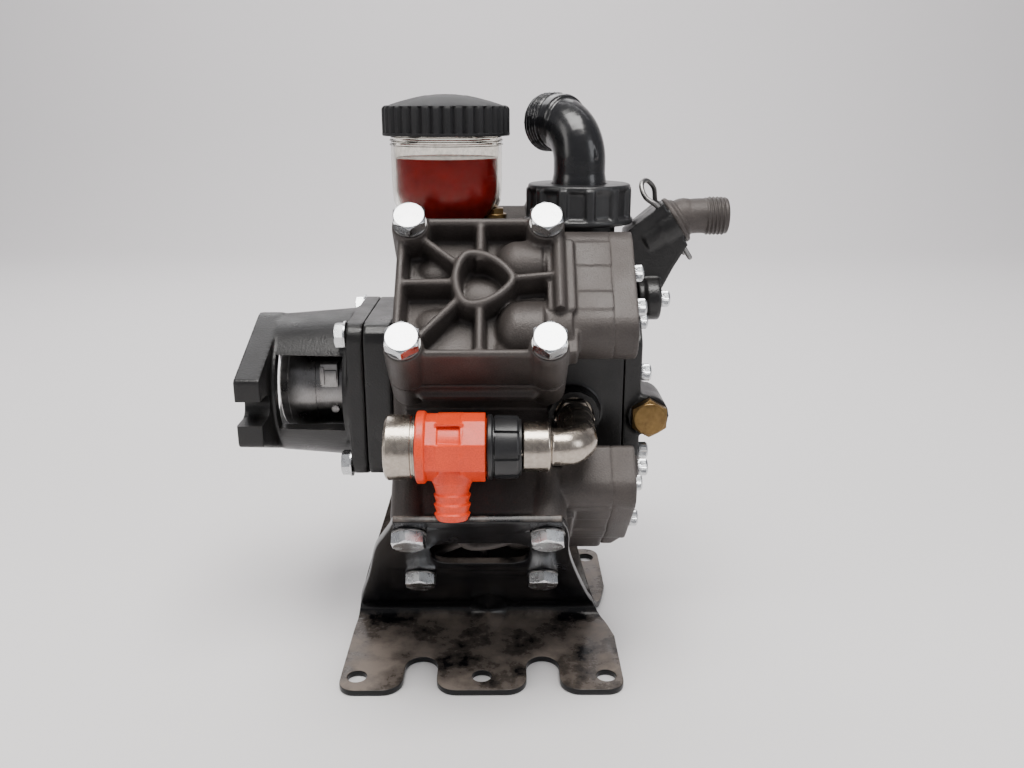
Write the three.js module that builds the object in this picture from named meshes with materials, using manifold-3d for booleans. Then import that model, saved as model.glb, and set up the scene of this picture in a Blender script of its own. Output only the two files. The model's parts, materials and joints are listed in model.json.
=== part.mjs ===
// Four-diaphragm pressure washer pump with a two-bolt hydraulic motor adapter.
// Millimetres, +Z up. The crankshaft lies along X with its drive end towards -X, the four heads stand
// around it like an X, and the feet rest on Z = 0.
import * as THREE from 'three';
import { mergeVertices } from 'three/addons/utils/BufferGeometryUtils.js';
import Module from 'manifold-3d';

const wasm = await Module();
wasm.setup();

// ---------------------------------------------------------------- driving dimensions
const GAP = 0.3;                     // clearance between pieces that touch or run together
const SHAFT_HEIGHT = 167;            // crankshaft axis above the foot plates' underside
const MID_LENGTH = 5.25;             // middle of the overall length, measured from the head bolts' centre
const MID_WIDTH = -3.64;             // middle of the overall width, measured from the shaft

const HEAD_TURN = { front_upper: 45, front_lower: 135, rear_lower: 225, rear_upper: 315 };
const HEAD_BASE = 78;                // crankcase face that a head sits on, from the shaft axis
const RIM_TOP = 106;                 // top of a head's outer wall
const BOSS_TOP = 108.5;              // top of a head's bolt bosses
const HEAD_X = [-44, 46];            // a head's extent along the shaft
const HEAD_T = [-43, 45.5];          // and across it
const BOLT_X = 37;                   // head bolts, plus and minus, along the shaft
const BOLT_T = 38;                   // and across it
const BOLT_R = 5;                    // M10
const BOLT_FLATS = 17;
const HEX_HEIGHT = 6.5;
const WASHER = 1.5;
const PORT_R = 8;                    // valve bores between a head's chamber and its valve cover
const CHAMBER_R = 34;                // pumping chamber

const HOUSING_X = [46, 72.7];        // valve housing on a head
const COVER_X = [73, 85.6];           // valve cover bolted to its end
const HOUSING_R = [65, 98];          // inner and outer face from the shaft axis

const MANIFOLD_X = [46.3, 82.7];     // suction manifold between the four valve housings
const MANIFOLD_COVER_X = [83, 92.8];
const MANIFOLD_HALF = 50;

const CHAMBER = 44;                  // crank chamber radius
const JOURNAL_R = 12.5;              // 25 mm shaft
const CAM_R = 22;
const THROW = 4;                     // half the piston stroke
const PISTON_R = 20.6;
const PISTON_FOOT = 30.6;            // piston foot from the shaft axis at mid stroke
const BEARING_R = 26;

const COVER_END_X = [-66.7, -51];    // drive end cover
const PLATE_HALF = 46.5;              // half width of the square drive end plates
const ADAPTER_X = [-136.5, -67];     // motor adapter
const MOTOR_FLANGE = 14.5;
const PILOT_R = 41.3;                // 82.55 mm pilot
const SLOT_Y = 53.2;                 // 106.4 mm between the two motor bolts
const SLOT_R = 7.15;

const BOWL_X = -19.4;                // oil reservoir axis
const BOWL_R = 32.3;
const CAP_R = 37;
const CAP_Z = [148.8, 165.5];

const SUCTION_X = 58.4;              // suction port axis
const NUT_Z = [98.8, 121.7];
const ELBOW_R = 15.6;
const ELBOW_Z = 156;                 // height of the elbow's level leg
const ELBOW_BEND = 22;
const ELBOW_REACH = 34;
const ELBOW_YAW = 125;               // degrees from +X to the level leg

const OUTLET = { x: 118, z: 101, tilt: 33 };   // mouth of the outlet socket and its slope
const TAIL_END = 147;
const SPIGOT_R = 9.5;
const PIN_R = 1.5;
const PIN_SPREAD = 9.2;
const PIN_BEHIND = 6.5;              // U-pin's distance behind the socket's mouth
const PLUG = { x: 97, z: -6 };       // plugged port in the manifold cover

const RELIEF_Y = -108;               // relief valve axis
const RELIEF_Z = -3.5;
const RELIEF_LEAN = 12;              // degrees that its hose tail leans away from the pump
const ELBOW_X = 53.5;                // relief elbow's branch into the manifold

const PLATE = 4;                     // foot bracket steel
const BEND_R = 10.5;                 // outside radius of its acute bend
const FOOT_HALF = 85;
const FOOT_EDGE = -89;
const FOOT_HOLE = [75, -75];

// ---------------------------------------------------------------- materials
function finish(color, roughness, metalness, opacity = 1) {
  return new THREE.MeshStandardMaterial({ color, roughness, metalness, opacity, transparent: opacity < 1 });
}
const cast = finish(0x554c4a, 0.7, 0.5);
const darkCast = finish(0x24211f, 0.6, 0.4);
const blackPaint = finish(0x0c0c0e, 0.25, 0.2);
const zinc = finish(0xcfd2d4, 0.3, 1);
const nickel = finish(0xb9ac98, 0.25, 1);
const steel = finish(0x77777a, 0.35, 1);
const brass = finish(0x7a5a28, 0.35, 1);
const blackPlastic = finish(0x151517, 0.4, 0);
const orangePlastic = finish(0xff4a1c, 0.45, 0);
const clearPlastic = finish(0xf2ece0, 0.08, 0, 0.35);
const rubber = finish(0x101010, 0.8, 0);

// ---------------------------------------------------------------- solids
// A closed three.js geometry as a solid, with its faces pointing out.
function solid(geometry) {
  const bare = new THREE.BufferGeometry();
  bare.setAttribute('position', geometry.getAttribute('position').clone());
  if (geometry.index) bare.setIndex(geometry.index.clone());
  const merged = mergeVertices(bare, 1e-4);
  const place = merged.getAttribute('position');
  const corners = [];
  for (let i = 0; i < merged.index.count; i += 3) {
    const [a, b, c] = [0, 1, 2].map((k) => merged.index.getX(i + k));
    if (a !== b && b !== c && c !== a) corners.push(a, b, c);
  }
  if (signedVolume(place, corners) < 0) corners.reverse();
  const mesh = new wasm.Mesh({
    numProp: 3,
    vertProperties: new Float32Array(place.array),
    triVerts: new Uint32Array(corners),
  });
  return new wasm.Manifold(mesh);
}

function signedVolume(place, corners) {
  const [a, b, c] = [new THREE.Vector3(), new THREE.Vector3(), new THREE.Vector3()];
  let volume = 0;
  for (let i = 0; i < corners.length; i += 3) {
    a.fromBufferAttribute(place, corners[i]);
    b.fromBufferAttribute(place, corners[i + 1]);
    c.fromBufferAttribute(place, corners[i + 2]);
    volume += a.dot(b.cross(c));
  }
  return volume;
}

const join = (first, ...rest) => rest.reduce((sum, piece) => sum.add(piece), first);
const cut = (first, ...rest) => rest.reduce((sum, piece) => sum.subtract(piece), first);

function meshOf(name, shape, material) {
  const { vertProperties, triVerts } = shape.getMesh();
  const geometry = new THREE.BufferGeometry();
  geometry.setAttribute('position', new THREE.BufferAttribute(vertProperties, 3));
  geometry.setIndex(new THREE.BufferAttribute(triVerts, 1));
  geometry.computeVertexNormals();
  const mesh = new THREE.Mesh(geometry, material.clone());
  mesh.name = name;
  return mesh;
}

// ---------------------------------------------------------------- geometry helpers
const X = new THREE.Vector3(1, 0, 0);
const Y = new THREE.Vector3(0, 1, 0);
const Z = new THREE.Vector3(0, 0, 1);
const TO_X = new THREE.Matrix4().makeBasis(Y, Z, X);
const TO_Y = new THREE.Matrix4().makeBasis(Z, X, Y);
const radians = THREE.MathUtils.degToRad;

const onX = (geometry) => geometry.applyMatrix4(TO_X);
const onY = (geometry) => geometry.applyMatrix4(TO_Y);
const turned = (geometry, degrees) => geometry.rotateX(radians(degrees));

function box(x0, x1, y0, y1, z0, z1) {
  const geometry = new THREE.BoxGeometry(x1 - x0, y1 - y0, z1 - z0);
  return geometry.translate((x0 + x1) / 2, (y0 + y1) / 2, (z0 + z1) / 2);
}

// A round bar along Z from one height to another, or a cone where the top radius differs.
function rod(radius, start, end, sides = 16, topRadius = radius) {
  const geometry = new THREE.CylinderGeometry(topRadius, radius, end - start, sides);
  return geometry.rotateX(Math.PI / 2).translate(0, 0, (start + end) / 2);
}

function hexPrism(flats, start, end) {
  return rod(flats / Math.sqrt(3), start, end, 6);
}

// A solid of revolution about Z from [radius, height] pairs.
function lathe(profile, sides = 16) {
  const points = profile.map(([radius, height]) => new THREE.Vector2(radius, height));
  return new THREE.LatheGeometry(points, sides).rotateX(Math.PI / 2);
}

function ring(inner, outer, start, end, sides = 20) {
  return lathe([[inner, start], [outer, start], [outer, end], [inner, end], [inner, start]], sides);
}

// The outline around circles [x, y, radius] given counter-clockwise: arcs joined by their tangents.
function outline(circles, step = 30) {
  const normals = circles.map(([x, y, r], i) => {
    const [nextX, nextY, nextR] = circles[(i + 1) % circles.length];
    const length = Math.hypot(nextX - x, nextY - y);
    return Math.atan2(nextY - y, nextX - x) - Math.acos((r - nextR) / length);
  });
  return circles.flatMap(([x, y, r], i) => {
    const from = normals[(i + circles.length - 1) % circles.length];
    let sweep = (normals[i] - from) % (2 * Math.PI);
    if (sweep < 0) sweep += 2 * Math.PI;
    const steps = r > 0 ? Math.max(1, Math.round(sweep / radians(step))) : 0;
    return Array.from({ length: steps + 1 }, (_, k) => {
      const angle = from + (steps ? (sweep * k) / steps : 0);
      return new THREE.Vector2(x + r * Math.cos(angle), y + r * Math.sin(angle));
    });
  });
}

function prism(points, start, end) {
  const shape = new THREE.Shape(points);
  const geometry = new THREE.ExtrudeGeometry(shape, { depth: end - start, bevelEnabled: false });
  return geometry.translate(0, 0, start);
}

const polygon = (pairs) => pairs.map(([x, y]) => new THREE.Vector2(x, y));

function roundedRect(x0, x1, y0, y1, r, step) {
  return outline([[x0 + r, y0 + r, r], [x1 - r, y0 + r, r], [x1 - r, y1 - r, r], [x0 + r, y1 - r, r]], step);
}

// A tube or bar of round section along a curve.
function sweep(points, radius, sides, steps) {
  const circle = Array.from({ length: sides }, (_, k) => {
    const angle = (2 * Math.PI * k) / sides;
    return new THREE.Vector2(radius * Math.cos(angle), radius * Math.sin(angle));
  });
  const path = new THREE.CatmullRomCurve3(points, false, 'centripetal');
  return new THREE.ExtrudeGeometry(new THREE.Shape(circle), { steps, extrudePath: path, bevelEnabled: false });
}

// ---------------------------------------------------------------- heads, in a head's own frame
// Local X runs along the shaft, local Y across the head and local Z away from the shaft.
const boltPlaces = [-1, 1].flatMap((sx) => [-1, 1].map((sy) => [sx * BOLT_X, sy * BOLT_T]));

function valveSection() {
  const [inner, outer] = HOUSING_R;
  return outline([[inner + 3, -20, 3], [outer - 16, -13, 16], [outer - 12, 35, 12], [inner + 3, 44, 3]])
    .map(({ x, y }) => new THREE.Vector2(y, x));
}

// A bar of the head's ribbing between two points of its face.
function rib(x0, y0, x1, y1, width, top) {
  const length = Math.hypot(x1 - x0, y1 - y0);
  const bar = box(0, length, -width / 2, width / 2, HEAD_BASE + 8, top);
  return bar.rotateZ(Math.atan2(y1 - y0, x1 - x0)).translate(x0, y0, 0);
}

function headRibs() {
  const triangle = [[-5, 14], [-5, -4.5], [13.5, 4.7]];
  const around = (radius) => prism(outline(triangle.map(([x, y]) => [x, y, radius]), 60), HEAD_BASE + 8, RIM_TOP + 0.5);
  const boss = cut(solid(around(8)), solid(around(3.2).translate(0, 0, 6)));
  const bars = [
    [-12, 3.5, -41, 3], [-11, 12, -30, 30], [-10, -10, -30, -31], [1, 20, 1, 43], [1, -11, 1, -41],
    [20, 5.5, 44, 7],
  ];
  return join(boss, ...bars.map((ends) => solid(rib(...ends, 4.5, RIM_TOP - 0.3))));
}

// The rounded bulge over a valve bore, running into the valve housing.
function lobe(across, height, radius) {
  const round = [0, 45, 90].map(radians).map((a) => [radius * Math.sin(a), 22 - radius * Math.cos(a)]);
  return onX(lathe([...round, [radius, 50], [0, 50]], 8)).translate(0, across, height);
}

function head(hasLip) {
  const [x0, x1] = HEAD_X;
  const [t0, t1] = HEAD_T;
  const wall = 4.5;
  const outer = solid(prism(roundedRect(x0, x1, t0, t1, 4, 45), HEAD_BASE + GAP, RIM_TOP));
  const hollow = solid(box(x0 + wall, x1 - wall, t0 + wall, t1 - wall, HEAD_BASE + 13, RIM_TOP + 1));
  let shape = join(
    cut(outer, hollow),
    headRibs(),
    solid(lobe(21, 88, 13)),
    solid(lobe(-15, 88, 14)),
    solid(box(42.5, 47.5, -13, 27, HEAD_BASE + 8, RIM_TOP + 1.5)),
    ...boltPlaces.map(([x, y]) => solid(rod(10.5, HEAD_BASE + GAP, BOSS_TOP, 8).translate(x, y, 0))),
    solid(onX(prism(valveSection(), HOUSING_X[0] - 1, HOUSING_X[1]))),
  );
  if (hasLip) shape = join(shape, solid(box(HOUSING_X[0], HOUSING_X[1], -40, -20, HOUSING_R[0] + 14, HOUSING_R[1] - 2)));
  return cut(
    shape,
    solid(box(-60, HOUSING_X[0] + GAP, -60, 60, HEAD_BASE - 20, HEAD_BASE + GAP)),
    solid(rod(CHAMBER + 1.4, HEAD_BASE, HEAD_BASE + 4.3, 16)),
    solid(rod(CHAMBER_R, HEAD_BASE, HEAD_BASE + 11, 16)),
    ...[21, -15].map((across) => solid(onX(rod(PORT_R, 15, HOUSING_X[1] + 1, 6)).translate(0, across, 86))),
    ...boltPlaces.map(([x, y]) => solid(rod(BOLT_R + 1, HEAD_BASE, BOSS_TOP + 1, 6).translate(x, y, 0))),
  );
}

function valveCover(hasLip) {
  const [x0, x1] = COVER_X;
  const body = solid(onX(prism(valveSection(), x0, x1)));
  const shape = hasLip ? join(body, solid(coverLip(x0))) : body;
  return cut(shape, ...[21, -15].map((across) => solid(onX(rod(PORT_R, x0 - 1, x1 - 5, 6)).translate(0, across, 86))));
}

// The lower covers reach a little further down, with a bevelled outer corner.
function coverLip(x0) {
  const low = HOUSING_R[0] + 14;
  const high = HOUSING_R[1] - 4;
  const wedge = prism(polygon([[x0, -39], [x0 + 7, -39], [x0 + 12, -26], [x0 + 12, -18], [x0, -18]]), low, high);
  return wedge;
}

function headBolt(seat) {
  return join(
    solid(hexPrism(BOLT_FLATS, seat + GAP / 3, seat + WASHER + HEX_HEIGHT)),
    solid(rod(BOLT_R, HEAD_BASE - 11, seat + WASHER, 6)),
  );
}

function diaphragm() {
  const low = HEAD_BASE + 0.6;
  const high = HEAD_BASE + 4;
  return solid(lathe([[0, low], [CHAMBER, low], [CHAMBER, high], [26, high], [18, high + 1.5], [0, high + 1.5]], 16));
}

function piston() {
  return solid(lathe([
    [0, PISTON_FOOT], [14, PISTON_FOOT], [PISTON_R, PISTON_FOOT + 4], [PISTON_R, 60], [8, 60], [8, 70], [17, 70],
    [17, HEAD_BASE + 0.3], [0, HEAD_BASE + 0.3],
  ]));
}

// ---------------------------------------------------------------- crankcase and covers
const headTurns = Object.values(HEAD_TURN);

function crankcase() {
  const tower = () => box(-43, 46, -39, 39, 0, HEAD_BASE - 8);
  const flange = () => prism(roundedRect(-45.5, 46, -46, 46.5, 6, 45), HEAD_BASE - 12, HEAD_BASE);
  const neck = solid(onX(prism(roundedRect(-46, 46, -46, 46, 10, 45), -50.7, -42)));
  const boss = solid(rod(24, 40, 84, 20).translate(BOWL_X, 0, 0));
  const bores = headTurns.flatMap((turn) => [
    solid(turned(rod(PISTON_R + 0.8, 30, HEAD_BASE + 1, 16), turn)),
    solid(turned(rod(36, HEAD_BASE - 5, HEAD_BASE + 1, 16), turn)),
    ...boltPlaces.map(([x, y]) => solid(turned(rod(BOLT_R + 1, HEAD_BASE - 11.5, HEAD_BASE + 1, 6).translate(x, y, 0), turn))),
  ]);
  return cut(
    join(neck, boss, ...headTurns.flatMap((turn) => [solid(turned(tower(), turn)), solid(turned(flange(), turn))])),
    solid(onX(rod(CHAMBER, -52, 24, 24))),
    solid(onX(rod(BEARING_R + GAP, 23, 37, 20))),
    solid(rod(8, 30, 90, 8).translate(BOWL_X, 0, 0)),
    solid(box(41, 47, -80, -49.7, -18, 12)),
    ...bores,
  );
}

// The volume that the valve housings and covers need, kept clear of the manifold.
function housingRoom(turn) {
  const points = valveSection().map(({ x, y }) => new THREE.Vector2(x * 1.015, y * 1.006 - 1));
  return solid(turned(onX(prism(points, HOUSING_X[0] - 1, COVER_X[1] + 1)), turn));
}

const octagon = (half, chamfer) => outline([0, 90, 180, 270].flatMap((a) => {
  const [c, s] = [Math.cos(radians(a)), Math.sin(radians(a))];
  const [u, v] = [half - 4, half - chamfer];
  return [[c * u + s * v, s * u - c * v, 4], [c * u - s * v, s * u + c * v, 4]];
}), 45);

function rearManifold() {
  const body = solid(onX(prism(octagon(MANIFOLD_HALF, 15), ...MANIFOLD_X)));
  const upright = solid(rod(22, 20, NUT_Z[0] + 9.5, 20).translate(SUCTION_X, 0, 0));
  const port = cut(upright, solid(box(30, MANIFOLD_X[0], -30, 30, 10, 92)));
  return cut(
    join(body, port),
    ...headTurns.map(housingRoom),
    solid(rod(14, 12, NUT_Z[0] + 11, 16).translate(SUCTION_X, 0, 0)),
    solid(onY(rod(7, -70, 0, 12)).translate(ELBOW_X, 0, RELIEF_Z)),
  );
}

function manifoldCover() {
  const [x0, x1] = MANIFOLD_COVER_X;
  const plate = solid(onX(prism(octagon(MANIFOLD_HALF, 15), x0, x1)));
  const lug = solid(onY(rod(12, -52, -20, 20)).translate(PLUG.x, 0, PLUG.z));
  const web = solid(box(x0, PLUG.x, -49, -20, PLUG.z - 12, PLUG.z + 12));
  return cut(
    join(plate, lug, web),
    ...headTurns.map(housingRoom),
    solid(onY(rod(6.4, -53, -40, 12)).translate(PLUG.x, 0, PLUG.z)),
    solid(rod(3.8, 30, MANIFOLD_HALF + 1, 12).translate(88, 0, 0)),
  );
}

function drivePlateOutline() {
  return roundedRect(-PLATE_HALF, PLATE_HALF, -PLATE_HALF, PLATE_HALF, 10, 30);
}

function driveEndCover() {
  const [x0, x1] = COVER_END_X;
  return cut(
    solid(onX(prism(drivePlateOutline(), x0, x1))),
    solid(onX(rod(BEARING_R + GAP, x0 + 4.8, x1 + 1, 20))),
    solid(onX(rod(15, x0 - 1, x0 + 6, 20))),
    solid(onX(rod(18, x0 - 1, x0 + 4, 20))),
  );
}

// ---------------------------------------------------------------- motor adapter
function motorFlange(x0) {
  const points = outline([[-63.5, -18, 2], [0, -31.5, 12.5], [63.5, -18, 2], [63.5, 18, 2], [0, 31.5, 12.5],
    [-63.5, 18, 2]], 30);
  const slots = [-1, 1].map((side) => {
    const ends = [[side * SLOT_Y, 0, SLOT_R], [side * 75, 0, SLOT_R]];
    return solid(onX(prism(outline(side > 0 ? ends : ends.reverse(), 30), x0 - 1, x0 + MOTOR_FLANGE + 1)));
  });
  return cut(solid(onX(prism(points, x0, x0 + MOTOR_FLANGE))), ...slots);
}

function motorAdapter() {
  const [x0, x1] = ADAPTER_X;
  const plate = solid(onX(prism(drivePlateOutline(), x1 - 9.5, x1)));
  const barrel = solid(onX(rod(42.5, x0 + MOTOR_FLANGE - 1, x1 - 5, 24, 46.5)));
  const bore = solid(onX(rod(35.5, x0 - 1, x1 + 1, 24)));
  const pilot = solid(onX(rod(PILOT_R, x0 - 1, x0 + 6.5, 24)));
  const windows = solid(box(x0 + MOTOR_FLANGE + 2.5, x1 - 13, -60, 60, -18, 26));
  return cut(join(motorFlange(x0), plate, barrel), bore, pilot, windows);
}

// ---------------------------------------------------------------- crank train
function crankshaft() {
  return join(
    solid(onX(rod(JOURNAL_R, -100, 36.5, 20))),
    solid(onX(rod(CAM_R, -15, 15, 24)).translate(0, 0, THROW)),
  );
}

function couplingSleeve() {
  return cut(
    join(solid(onX(rod(27, -121, -80, 24))), solid(box(-95, -85, -29.5, -20, 5, 19))),
    solid(onX(rod(JOURNAL_R + GAP, -122, -79, 20))),
  );
}

// ---------------------------------------------------------------- oil reservoir
function reservoirBowl() {
  const wall = 2.2;
  return solid(lathe([
    [8, 84.3], [17.5, 84.3], [17.5, 89], [22, 89], [22, 92], [27, 103], [BOWL_R, 116], [BOWL_R, 162],
    [BOWL_R - wall, 162], [BOWL_R - wall, 117], [27 - wall, 104], [19, 95], [8, 95], [8, 84.3],
  ], 24));
}

function capSeal() {
  return solid(ring(25, BOWL_R, 162.3, 164.2));
}

function reservoirCap() {
  const [low, shoulder] = CAP_Z;
  const shell = solid(lathe([
    [0, 171.8], [12, 171.2], [31, shoulder], [CAP_R - 1.2, shoulder], [CAP_R - 1.2, low],
    [BOWL_R + 0.8, low], [BOWL_R + 0.8, 164.5], [0, 164.5],
  ], 24));
  const flutes = Array.from({ length: 12 }, (_, k) => {
    const bar = box(CAP_R - 3, CAP_R, -2.2, 2.2, low + 0.5, shoulder - 1);
    return solid(bar.rotateZ((k * Math.PI) / 6));
  });
  return join(shell, ...flutes);
}

// ---------------------------------------------------------------- suction fitting
function suctionNut() {
  const [low, high] = NUT_Z;
  const shell = solid(ring(16.3, 30, low, high));
  const lugs = Array.from({ length: 6 }, (_, k) => solid(box(28, 32.2, -3, 3, low, high - 3).rotateZ((k * Math.PI) / 3)));
  const thread = solid(rod(24.3, low - 1, high - 6.7, 20));
  return cut(join(shell, solid(ring(24.3, 32.4, low, low + 3, 20)), ...lugs), thread);
}

// Centre line of the suction elbow: up, through a quarter bend, then level.
function elbowLine(start, reach) {
  const out = new THREE.Vector3(Math.cos(radians(ELBOW_YAW)), Math.sin(radians(ELBOW_YAW)), 0);
  const foot = new THREE.Vector3(0, 0, ELBOW_Z - ELBOW_BEND);
  const arc = [0, 22.5, 45, 67.5, 90].map((degrees) => {
    const a = radians(degrees);
    return foot.clone()
      .addScaledVector(out, ELBOW_BEND * (1 - Math.cos(a)))
      .addScaledVector(Z, ELBOW_BEND * Math.sin(a));
  });
  const far = new THREE.Vector3(0, 0, ELBOW_Z).addScaledVector(out, reach);
  return [new THREE.Vector3(0, 0, start), new THREE.Vector3(0, 0, (start + foot.z) / 2), ...arc, far];
}

function suctionElbow() {
  const flange = NUT_Z[0] + 10;
  const collar = rod(17.2, ELBOW_REACH - 12, ELBOW_REACH, 16);
  collar.rotateY(Math.PI / 2).rotateZ(radians(ELBOW_YAW)).translate(0, 0, ELBOW_Z);
  return cut(
    join(solid(sweep(elbowLine(flange + 2, ELBOW_REACH - 2), ELBOW_R, 12, 9)), solid(collar), solid(rod(23.5, flange, flange + 5.6, 16))),
    solid(sweep(elbowLine(flange - 2, ELBOW_REACH + 2), 12.5, 8, 9)),
  );
}

// ---------------------------------------------------------------- delivery outlet
// Turns a shape made along Z into the outlet's sloping axis, with its origin at the socket's mouth.
function onOutlet(geometry) {
  return geometry.rotateY(radians(90 - OUTLET.tilt)).translate(OUTLET.x, 0, OUTLET.z);
}

function pinLegHole(side) {
  return solid(onOutlet(onX(rod(PIN_R + GAP, -40, 40, 8)).translate(0, side * PIN_SPREAD, -PIN_BEHIND)));
}

function outletSocket() {
  const half = 12.3;
  const side = [[106.9, 111.1], [86, 94], [86, MANIFOLD_HALF + GAP], [107, MANIFOLD_HALF + GAP], [108, 60], [115, 74],
    [122.7, 86.8]];
  const block = prism(polygon(side), -half, half).rotateX(Math.PI / 2);
  const ear = onX(rod(11, MANIFOLD_COVER_X[1] + GAP, 106, 20)).translate(0, -14, 55);
  return cut(
    join(solid(block), solid(ear)),
    solid(onOutlet(rod(SPIGOT_R + 0.8, -26, 2, 12))),
    solid(onOutlet(rod(6, -31, -25, 8))),
    solid(rod(6, MANIFOLD_HALF - 1, 84, 8).translate(93, 0, 0)),
    pinLegHole(-1),
    pinLegHole(1),
  );
}

function outletTail() {
  const level = OUTLET.z + 1.5;
  const slope = radians(OUTLET.tilt);
  const behind = (s) => new THREE.Vector3(OUTLET.x + s * Math.cos(slope), 0, OUTLET.z + s * Math.sin(slope));
  const points = (extra) => [
    behind(-25 - extra), behind(-14), behind(-0.5), new THREE.Vector3(123, 0, level - 0.5),
    new THREE.Vector3(130, 0, level), new THREE.Vector3(TAIL_END + extra, 0, level),
  ];
  const spigot = lathe([
    [0, -25], [SPIGOT_R, -25], [SPIGOT_R, -PIN_BEHIND - 2.4], [7.4, -PIN_BEHIND - 2.2], [7.4, -PIN_BEHIND + 2.2],
    [SPIGOT_R, -PIN_BEHIND + 2.4], [SPIGOT_R, -3.5], [14.5, -3.5], [14.5, 0], [11.5, 2], [0, 2],
  ], 12);
  const bend = sweep(points(0).slice(2), 10.6, 12, 5);
  const thread = onX(rod(11.2, 134.7, TAIL_END, 12)).translate(0, 0, level);
  return cut(join(solid(onOutlet(spigot)), solid(bend), solid(thread)), solid(sweep(points(2), 5.6, 6, 8)));
}

function outletPin() {
  const legs = 22;
  const shoulder = 20.5;
  const half = PIN_SPREAD;
  const arc = [0, 30, 60, 90, 120, 150, 180].map((degrees) => {
    const a = radians(degrees);
    return new THREE.Vector3(-shoulder - half * Math.sin(a), half * Math.cos(a), 0);
  });
  const points = [new THREE.Vector3(legs, half, 0), new THREE.Vector3(-8, half, 0), ...arc,
    new THREE.Vector3(-8, -half, 0), new THREE.Vector3(legs, -half, 0)];
  return solid(onOutlet(sweep(points, PIN_R, 6, 16).translate(0, 0, -PIN_BEHIND)));
}

// ---------------------------------------------------------------- relief valve, axis along X
const onRelief = (geometry) => onX(geometry).translate(0, RELIEF_Y, RELIEF_Z);

const leaning = (geometry) => turned(geometry, -RELIEF_LEAN).translate(-13, RELIEF_Y, RELIEF_Z);

function reliefBody() {
  const tail = lathe([
    [0, -38], [8.6, -38], [9.6, -35], [9.6, 0], [0, 0],
  ], 12);
  return cut(
    join(
      solid(onRelief(rod(18.5, -31, -26, 24))),
      solid(onRelief(rod(16.8, -26.5, 5, 16))),
      solid(leaning(tail)),
    ),
    solid(onRelief(rod(10.5, -32, 2, 16))),
    solid(onRelief(rod(6, 0, 6, 10))),
    solid(leaning(rod(6.3, -45, -5, 10))),
  );
}

function reliefCap() {
  return cut(
    solid(onRelief(lathe([[0, -47], [15.5, -47], [17, -45.5], [17, -31.3], [0, -31.3]], 24))),
    solid(onRelief(rod(10.5, -44, -31, 16))),
  );
}

function reliefPoppet() {
  return solid(onRelief(lathe([[0, -8], [3, -8], [3, -2], [10, -2], [10, 1.6], [0, 1.6]], 16)));
}

function reliefSpring() {
  const turns = 7;
  const points = Array.from({ length: turns * 8 + 1 }, (_, k) => {
    const angle = (k * Math.PI) / 4;
    return new THREE.Vector3(6.5 * Math.cos(angle), 6.5 * Math.sin(angle), -42.5 + (k * 39) / (turns * 8));
  });
  return solid(onRelief(sweep(points, 0.9, 4, turns * 8)));
}

function unionNut() {
  return cut(
    solid(onRelief(lathe([[0, 5.3], [15.5, 5.3], [15.5, 17], [16, 17.5], [16, 22.7], [0, 22.7]], 20))),
    solid(onRelief(rod(8, 5, 23, 12))),
  );
}

function reliefElbow() {
  const knee = new THREE.IcosahedronGeometry(9.5, 1).translate(ELBOW_X, RELIEF_Y, RELIEF_Z);
  return cut(
    join(
      solid(onRelief(rod(13, 23, 39, 20))),
      solid(onRelief(rod(9.2, 39, ELBOW_X, 16))),
      solid(knee),
      solid(onY(rod(9.2, RELIEF_Y, -66, 16)).translate(ELBOW_X, 0, RELIEF_Z)),
    ),
    solid(onRelief(rod(5.5, 22, ELBOW_X + 1, 8))),
    solid(onY(rod(5.5, RELIEF_Y - 1, -65, 8)).translate(ELBOW_X, 0, RELIEF_Z)),
  );
}

function reliefNipple() {
  const place = (geometry) => solid(onY(geometry).translate(ELBOW_X, 0, RELIEF_Z));
  return cut(
    join(place(hexPrism(20, -65.7, -57)), place(rod(11.2, -57.5, -50.3, 16)), place(rod(6.5, -51, -42, 10))),
    place(rod(4.5, -67, -41, 8)),
  );
}

function brassPlug() {
  const place = (geometry) => solid(onY(geometry).translate(PLUG.x, 0, PLUG.z));
  return join(place(hexPrism(19, -59, -52.3)), place(rod(6, -52.5, -41, 12)));
}

// ---------------------------------------------------------------- foot brackets
// The bracket lies against a lower head, bends sharply under the pump and comes back out as a foot.
// Built for the front head, flared more towards the motor than away from it. The rear one is its mirror image,
// made by flipping the outlines left to right and then turning the piece about Z.
function bracketSection() {
  const inner = BOSS_TOP + GAP;
  const out = new THREE.Vector2(-Math.SQRT1_2, -Math.SQRT1_2);
  const along = new THREE.Vector2(-Math.SQRT1_2, Math.SQRT1_2);
  const at = (radius, across) => out.clone().multiplyScalar(radius).addScaledVector(along, across);
  const centreZ = -SHAFT_HEIGHT + BEND_R;
  const centre = new THREE.Vector2(-(inner + BEND_R) * Math.SQRT2 - centreZ, centreZ);
  const arc = (radius) => [45, 18, -9, -36, -63, -90].map((degrees) => {
    const a = radians(degrees);
    return centre.clone().add(new THREE.Vector2(radius * Math.cos(a), radius * Math.sin(a)));
  });
  return [
    at(inner, 50), ...arc(BEND_R), new THREE.Vector2(FOOT_EDGE, -SHAFT_HEIGHT),
    new THREE.Vector2(FOOT_EDGE, -SHAFT_HEIGHT + PLATE), ...arc(BEND_R - PLATE).reverse(), at(inner + PLATE, 50),
  ];
}

// The bracket seen square to its sloping plate: narrow at the top, flared at the bend.
function slopedOutline(flip) {
  const pairs = [[-45, 53], [-52, 30], [-59, 9], [-69, -41], [-81, -92], [-FOOT_HALF, -150], [70, -150], [69, -92],
    [58, -41], [51, 0], [49, 30], [45, 53]];
  return polygon(pairs.map(([x, y]) => [flip * x, y]));
}

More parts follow.
